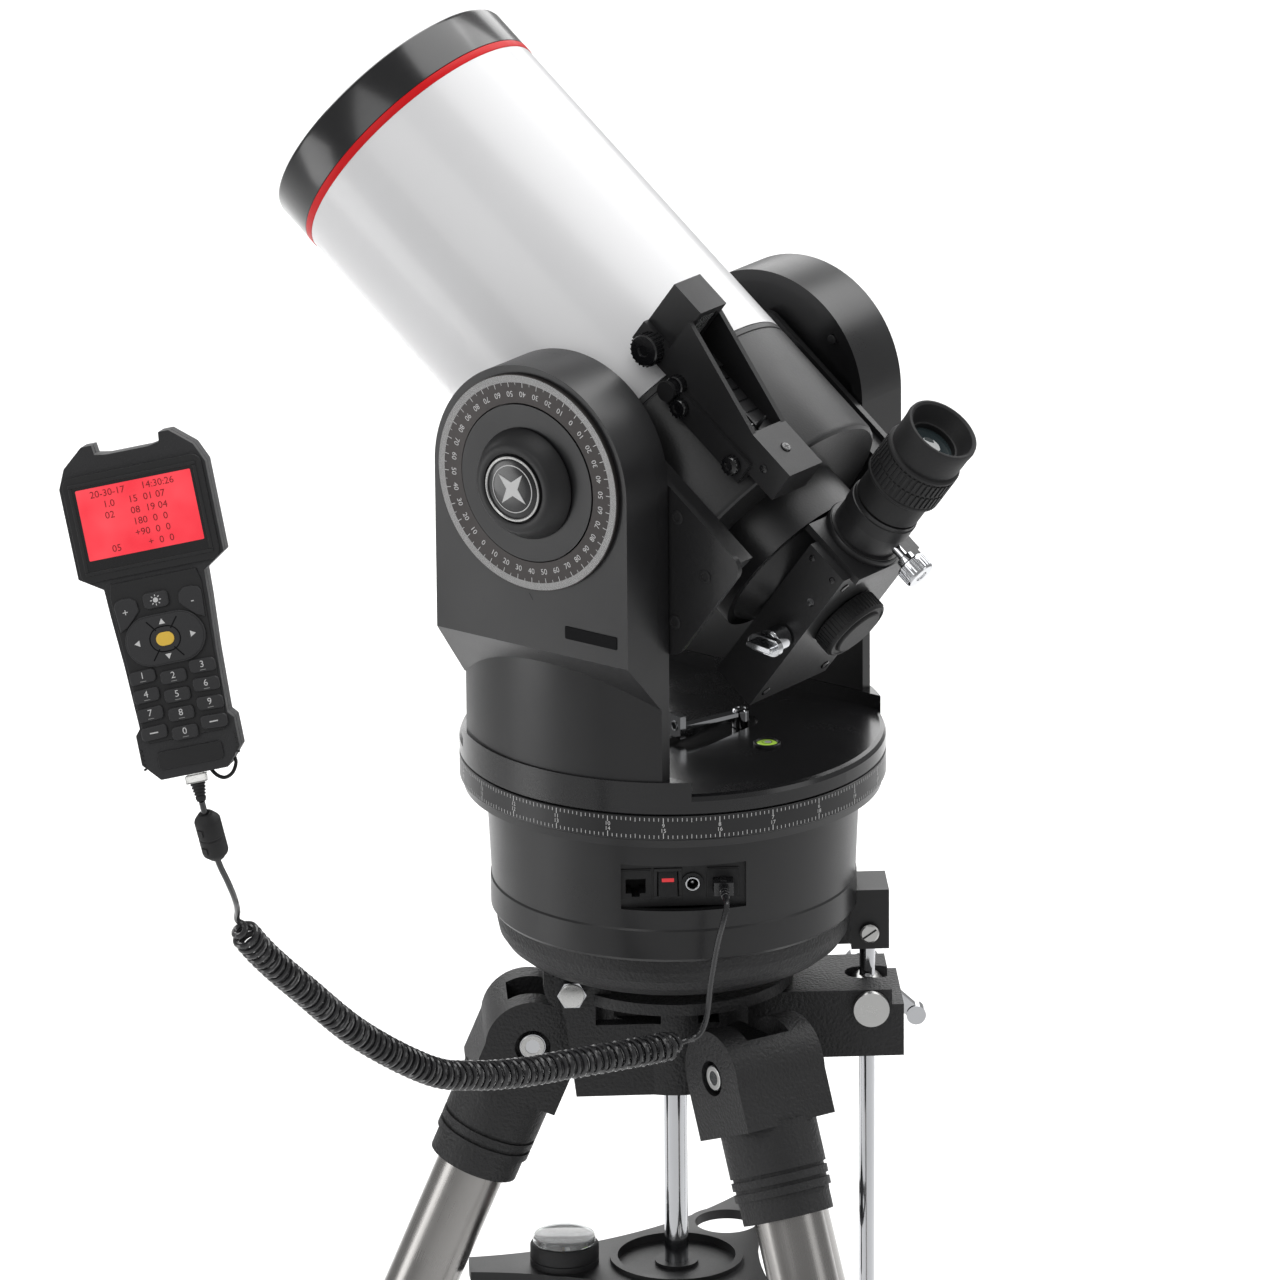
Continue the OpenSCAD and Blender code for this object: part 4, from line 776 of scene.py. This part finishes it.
fin.lathe([(0, 54), (4.6, 54), (5.0, 54.5), (5.0, 58.8), (4.4, 59.4), (0, 59.4)], T(62, 0, -11) @ NEAR, 36, 0,
          closed=False)
for k in range(16):
    fin.box((4.8, -0.35, 55), (5.3, 0.35, 58.9), T(62, 0, -11) @ NEAR @ R(360 * k / 16, "Z"), 0)
for z in range(-50, -16, 7):
    fin.box((70.0, -52.4, z), (70.5, -31.6, z + 0.7), mat=0)
fin.box((70, -42.6, -54), (70.9, -41.4, -18), mat=1)
fin.lathe([(0, 0), (1.1, 0), (0.8, 7), (0.3, 8.4), (0, 8.5)], T(70, -42, -52) @ PLUS_X, 20, 1, closed=False)
screw(fin, T(75, -42, -70) @ PLUS_X, 2.8, 0.9, 0, 1)
screw(fin, T(66, -55, -72) @ NEAR, 2.2, 0.8, 0, 1)
fin.lathe([(5.6, 23.0), (8.2, 23.0), (8.2, 23.9), (7.6, 24.1), (5.6, 23.9)], T(84, -40.5, 0), 40, 0)
fin.make("finder_fittings", TUBE, [GLOSS, DARK], "optical", bevel=0.2)
win = Shape()
win.prism(rounded((76.4, -46.6), (93.6, -34.4), 0.8), 3.5, 4.6)
win.make("finder_window", TUBE, [GLASS], "optical")

# flip box and its fittings
dress("flip_box", REAR, 1.1, 3)
fit = Shape()
for x, y in ((-48, -25), (-48, 25), (31, -25), (31, 25)):
    screw(fit, T(x, y, -132) @ R(180, "X"), 2.6, 0.9, 0, 1)
for z in (-112, -127):
    screw(fit, T(34, -32, z) @ NEAR, 1.7, 0.7, 0, 1)
EYE_AXIS = T(0, 0, -115) @ PLUS_X
fit.lathe([(17.6, 40), (19.9, 40), (20.4, 40.8), (20.4, 44.6), (19.9, 45.4), (17.6, 45.4)], EYE_AXIS, 72, 1)
fit.lathe([(17.6, 57), (18.2, 57.2), (18.2, 64.5), (17.6, 64.8)], EYE_AXIS, 72, 1)
fit.make("flip_box_fittings", TUBE, [GLOSS, DARK], "optical", bevel=0.2)
cap = Shape()
cap.lathe([(0, -144.4), (12.6, -144.4), (13.4, -143.9), (13.8, -142.6), (15.6, -142.6), (16.2, -143.2),
           (16.9, -143.2), (17.7, -142.4), (18.0, -141.4), (18.0, -132.6), (15.2, -132.4), (15.0, -131),
           (15.0, -128.2), (0, -128.2)], seg=72, closed=False)
for k in range(48):
    cap.box((17.7, -0.38, -141.6), (18.35, 0.38, -133.4), R(7.5 * k, "Z"))
cap.make("rear_port_cap", TUBE, [RUBBER], "port_cap", ("port_cap",), bevel=0.2)
lever = Shape()
lever.lathe([(0, 26.5), (3, 26.5), (3, 32.5), (6.2, 32.6), (6.6, 33.2), (6.6, 43.4), (5.6, 44.8), (0, 45)], NEAR,
            40, 0, closed=False)
lever.prism(oval(0.5, 0, 9.6, 4.6), 44.8, 48.4, NEAR @ R(-60, "Z"), 0)
lever.prism(oval(0.5, 0, 7.4, 1.5), 48.4, 53.0, NEAR @ R(-60, "Z"), 0)
lever.make("flip_thumb_lever", TUBE @ T(-12, 0, -124), [CHROME], "flip_lever", ("flip_lever",),
           bevel=0.7)
dress("flip_mirror", MIRROR, 0.2)

# eyepiece
eye = Shape()
eye.lathe([(13.8, 40), (15.8, 40), (15.875, 40.5), (15.875, 67.6), (17.0, 67.7), (17.4, 68.2), (17.4, 80.8),
           (16.6, 81.4), (16.6, 82.2), (19.4, 82.4), (20.0, 83.0), (20.0, 84.2), (19.4, 84.8), (19.4, 101.6),
           (20.0, 102.2), (20.0, 103.4), (19.4, 104.2), (18.2, 104.6), (18.6, 106), (18.8, 116), (19.2, 120),
           (18.8, 121.8), (17.8, 122), (16.6, 121.2), (14.2, 114), (13.0, 112.2), (12.2, 112), (12.2, 109),
           (10, 108), (10, 41)], seg=96)
for k in range(44):
    eye.box((19.2, -0.8, 85.2), (20.05, 0.8, 92.6), R(360 * k / 44, "Z"))
    eye.box((19.2, -0.8, 93.6), (20.05, 0.8, 101.2), R(360 * (k + 0.5) / 44, "Z"))
eye.lathe([(0, 107.4), (5, 108.4), (9, 108.9), (12.1, 109.2), (12.1, 106), (0, 106)], seg=64, mat=1,
          closed=False)
eye.make("eyepiece_body", TUBE @ EYE_AXIS, [RUBBER, LENS], "eyepiece", ("eyepiece",), bevel=0.2)
knurl = Shape()
knurl.lathe([(0, 16.3), (2.5, 16.3), (2.5, 24), (4.4, 24), (4.6, 24.6), (4.6, 28), (7.2, 28), (7.7, 28.6),
             (7.7, 36.2), (7.2, 37), (3.2, 37), (2.8, 36.4), (0, 36.4)], seg=48, closed=False)
for k in range(26):
    knurl.box((7.5, -0.42, 29), (8.05, 0.42, 35.9), R(360 * k / 26, "Z"))
knurl.make("eyepiece_thumb_screw", TUBE @ T(52, 0, -115) @ R(180, "Y"), [CHROME], "eyepiece_screw",
           ("eyepiece_screw",), bevel=0.18)

# ------------------------------------------------------------------ handset
HALF = [(10, 74), (15.5, 75), (16, 79.5), (21, 79.5), (31, 71), (35, 62), (34.8, 19), (24, 12), (23.5, -1),
        (22, -25), (21, -55), (23.5, -58), (23.5, -72), (16, -80.5)]
outline = HALF + [(-x, z) for x, z in reversed(HALF)]
case = Shape()
# back shell and front frame, parted by a groove
case.prism(outline, -13, 1.2, NEAR, 0)
inset = [(x * 0.985, z * 0.992) for x, z in outline]
case.prism(inset, 1.2, 2.0, NEAR, 0)
case.prism(outline, 2.0, 10.4, NEAR, 0)
case.make("handset_shell", HAND, [SHELL], "tripod", ("handset_case",), bevel=2.2, segs=4,
          angle=25)
fascia = Shape()
PAD_Z = -15.6
grip = [(20.5, 14), (21.8, 8), (21.4, -6), (20.4, -30), (19.8, -56), (18.4, -62.5)]
grip_line = grip + [(-x, z) for x, z in reversed(grip)]
fascia.prism(grip_line, 10.2, 11.6, NEAR, 0)
fascia.prism(rounded((-33.2, 16.5), (33.2, 66.5), 4.5), 10.2, 12.4, NEAR, 0)
fascia.frame((-30.6, 19.8), (30.6, 63.2), 1.7, 12.3, 13.0, NEAR, 0)
fascia.prism(rounded((-15.5, -76), (15.5, -67.4), 2), 10.2, 11.4, NEAR, 0)
for s in (-1, 1):
    for k in range(5):
        fascia.box((s * 22.4 - 0.6, -66 - 2.2 * k, 8), (s * 22.4 + 0.6, -65 - 2.2 * k, 10.9), NEAR, 0)
fascia.make("handset_fascia", HAND, [DARK], "tripod", bevel=0.7, segs=3)
screen = Shape()
screen.prism(rounded((-29, 21.4), (29, 61.6), 1.0), 12.2, 12.55, NEAR, 0)
screen.prism(rounded((-27.5, 26.5), (27.5, 60), 0.6), 12.55, 12.75, NEAR, 1)
ROWS = ["20-30-17      14:30:26", "1.0     15  01 07", "02      08  19 04", "         180  0  0",
        "         +90  0  0", "05          +  0  0"]
for k, row in enumerate(ROWS):
    screen.text(row, 4.6, NEAR @ T(-1, 56.6 - 5.3 * k, 12.82), 2)
screen.make("handset_screen", HAND, [GLOSS, LCD, INK], "tripod", ("handset_window",))

KEY_COLUMN, KEY_TOP, KEY_PRINT = 14.3, 13.6, 13.66


def key_z(row, column):
    """The height of a number key: the middle column hangs lower, and column runs from -1 to 1."""
    return -31.2 - 8.9 * row - 2.4 * (1 - abs(column))


keys = Shape()
for j in range(4):
    for i in (-1, 0, 1):
        z = key_z(j, i)
        line = [(x + KEY_COLUMN * i, y + z - 0.25 * i * x * 0.2)
                for x, y in rounded((-6.2, -3.2), (6.2, 3.2), 2.0)]
        keys.prism(line, 8.2, KEY_TOP, NEAR)
for s in (-1, 1):
    arc = [(9.4, -1.4), (12.8, -5.0), (16.4, -8.4), (20.2, -10.0), (21.0, 2.4), (19.8, 4.6), (16.6, 5.6),
           (12.8, 5.4), (10.0, 3.2)]
    keys.prism([(s * x, z + 0.8) for x, z in arc], 8.2, 13.0, NEAR, 0)
keys.prism(rounded((-6.8, -0.8), (5.2, 6.8), 2.2), 8.2, KEY_TOP, NEAR, 0)
keys.make("key_mats", HAND, [KEY], "key_mat", ("key_mat",), bevel=0.7, segs=3, angle=30)
pad = Shape()
pad.prism(oval(0, PAD_Z, 19, 12), 8.2, KEY_TOP, NEAR, 0)
pad.prism(oval(0, PAD_Z, 18.2, 11.2), 13.5, 14.2, NEAR, 0)
for deg in (52, 128, 232, 308):
    pad.mark(5.6, 11.8, 0.32, NEAR @ T(0, PAD_Z, 14.21) @ R(deg, "Z"), 1)
oval_in, oval_out = oval(0, PAD_Z, 6.9, 5.6), oval(0, PAD_Z, 7.5, 6.2)
pad.add([(x, z, 14.22) for x, z in oval_in + oval_out],
        [[k, (k + 1) % len(oval_in), len(oval_in) + (k + 1) % len(oval_in), len(oval_in) + k]
         for k in range(len(oval_in))], NEAR, 1)
pad.make("arrow_pad_rubber", HAND, [KEY, PLATE], "arrow_pad", ("arrow_pad",), bevel=0.6, segs=3,
         angle=30)
centre = Shape()
centre.prism(oval(0, PAD_Z, 4.3, 3.2), 12.8, 15.0, NEAR, 0)
centre.make("enter_button", HAND, [YELLOW], "enter_key", ("enter_key",), bevel=0.6, segs=3,
            angle=30)
legend = Shape()
for j, row in enumerate((("1", "2", "3"), ("4", "5", "6"), ("7", "8", "9"), ("", "0", ""))):
    for i, ch in zip((-1, 0, 1), row):
        key = NEAR @ T(KEY_COLUMN * i, key_z(j, i), KEY_PRINT)
        if ch:
            legend.text(ch, 4.4, key @ T(0, 0.5, 0), 0)
            legend.mark(-1.4, 1.4, 0.16, key @ T(0, -2.1, 0), 1)
        else:
            legend.mark(-2.0, 2.0, 0.3, key, 0)
legend.text("+", 5.0, NEAR @ T(-16, -0.4, 13.06), 0)
legend.text("-", 5.0, NEAR @ T(16, -0.4, 13.06), 0)
lamp = NEAR @ T(-0.8, 3, KEY_PRINT)
for k in range(8):
    legend.mark(1.7, 2.6, 0.22, lamp @ R(45 * k, "Z"), 0)
legend.add([(x, y, 0) for x, y in ring_of(20, 1.2)], [list(range(20))], lamp, 0)
legend.make("key_legends", HAND, [PRINT, GREYPRINT], "key_mat")
arrows = Shape()
for deg, x, z in ((90, 0, 8.2), (-90, 0, -8.2), (180, -13.2, 0), (0, 13.2, 0)):
    arrows.add([(1.5, 0, 0), (-1.1, 1.5, 0), (-1.1, -1.5, 0)], [[0, 1, 2]],
               NEAR @ T(x, PAD_Z + z, 14.26) @ R(deg, "Z"), 0)
arrows.make("arrow_marks", HAND, [PRINT], "arrow_pad")
loop = Shape()
loop_pts = [(6, 2, -80), (8.5, 2, -84), (12, 2, -86), (16, 2, -84.5), (18.5, 2, -80.5), (18.6, 2, -77.5)]
loop.sweep(spline(loop_pts, 6), 0.9, 10)
loop.make("strap_loop", HAND, [RUBBER], "tripod")

# ------------------------------------------------------------------ floor, light
FLOOR_HALF = 30
floor = bpy.data.meshes.new("floor")
floor.from_pydata([(x * FLOOR_HALF, y * FLOOR_HALF, 0) for x, y in ((-1, -1), (1, -1), (1, 1), (-1, 1))],
                  [], [(0, 1, 2, 3)])
floor_ob = bpy.data.objects.new("floor", floor)
bpy.context.collection.objects.link(floor_ob)
floor_mat = surface("pale_floor", (0.86, 0.86, 0.86), 0.7, grain=30, bump=0, vary=0.01)
floor.materials.append(floor_mat)


def area_light(name, pos, look, size, power, size_y=None):
    data = bpy.data.lights.new(name, "AREA")
    data.shape = "RECTANGLE"
    data.size = size
    data.size_y = size_y or size
    data.energy = power
    ob = bpy.data.objects.new(name, data)
    bpy.context.collection.objects.link(ob)
    ob.location = pos
    ob.rotation_euler = (Vector(look) - Vector(pos)).to_track_quat("-Z", "Y").to_euler()


FORK_MIDDLE = (0, 0, 0.85)
area_light("key", (-2.1, -2.6, 2.7), FORK_MIDDLE, 2.0, 24, 2.4)
area_light("fill", (2.9, -1.4, 2.0), FORK_MIDDLE, 1.4, 8, 2.0)
area_light("top", (0.7, 0.3, 3.6), FORK_MIDDLE, 2.2, 42)
area_light("rim", (1.9, 1.5, 2.9), (0, 0, 0.95), 1.6, 24)
area_light("left_panel", (-2.3, -0.25, 0.55), (0, 0, 0.70), 0.9, 7, 1.0)
area_light("backdrop", (0, 2.9, 1.35), (0, 2.9, 0), 2.4, 62, 4.4)
world = bpy.data.worlds.new("studio")
bpy.context.scene.world = world
# the photograph has a pure white ground, which the default transform would turn grey
bpy.context.scene.view_settings.view_transform = "Standard"
world.use_nodes = True
world.node_tree.nodes["Background"].inputs["Color"].default_value = (1, 1, 1, 1)
world.node_tree.nodes["Background"].inputs["Strength"].default_value = 0.34
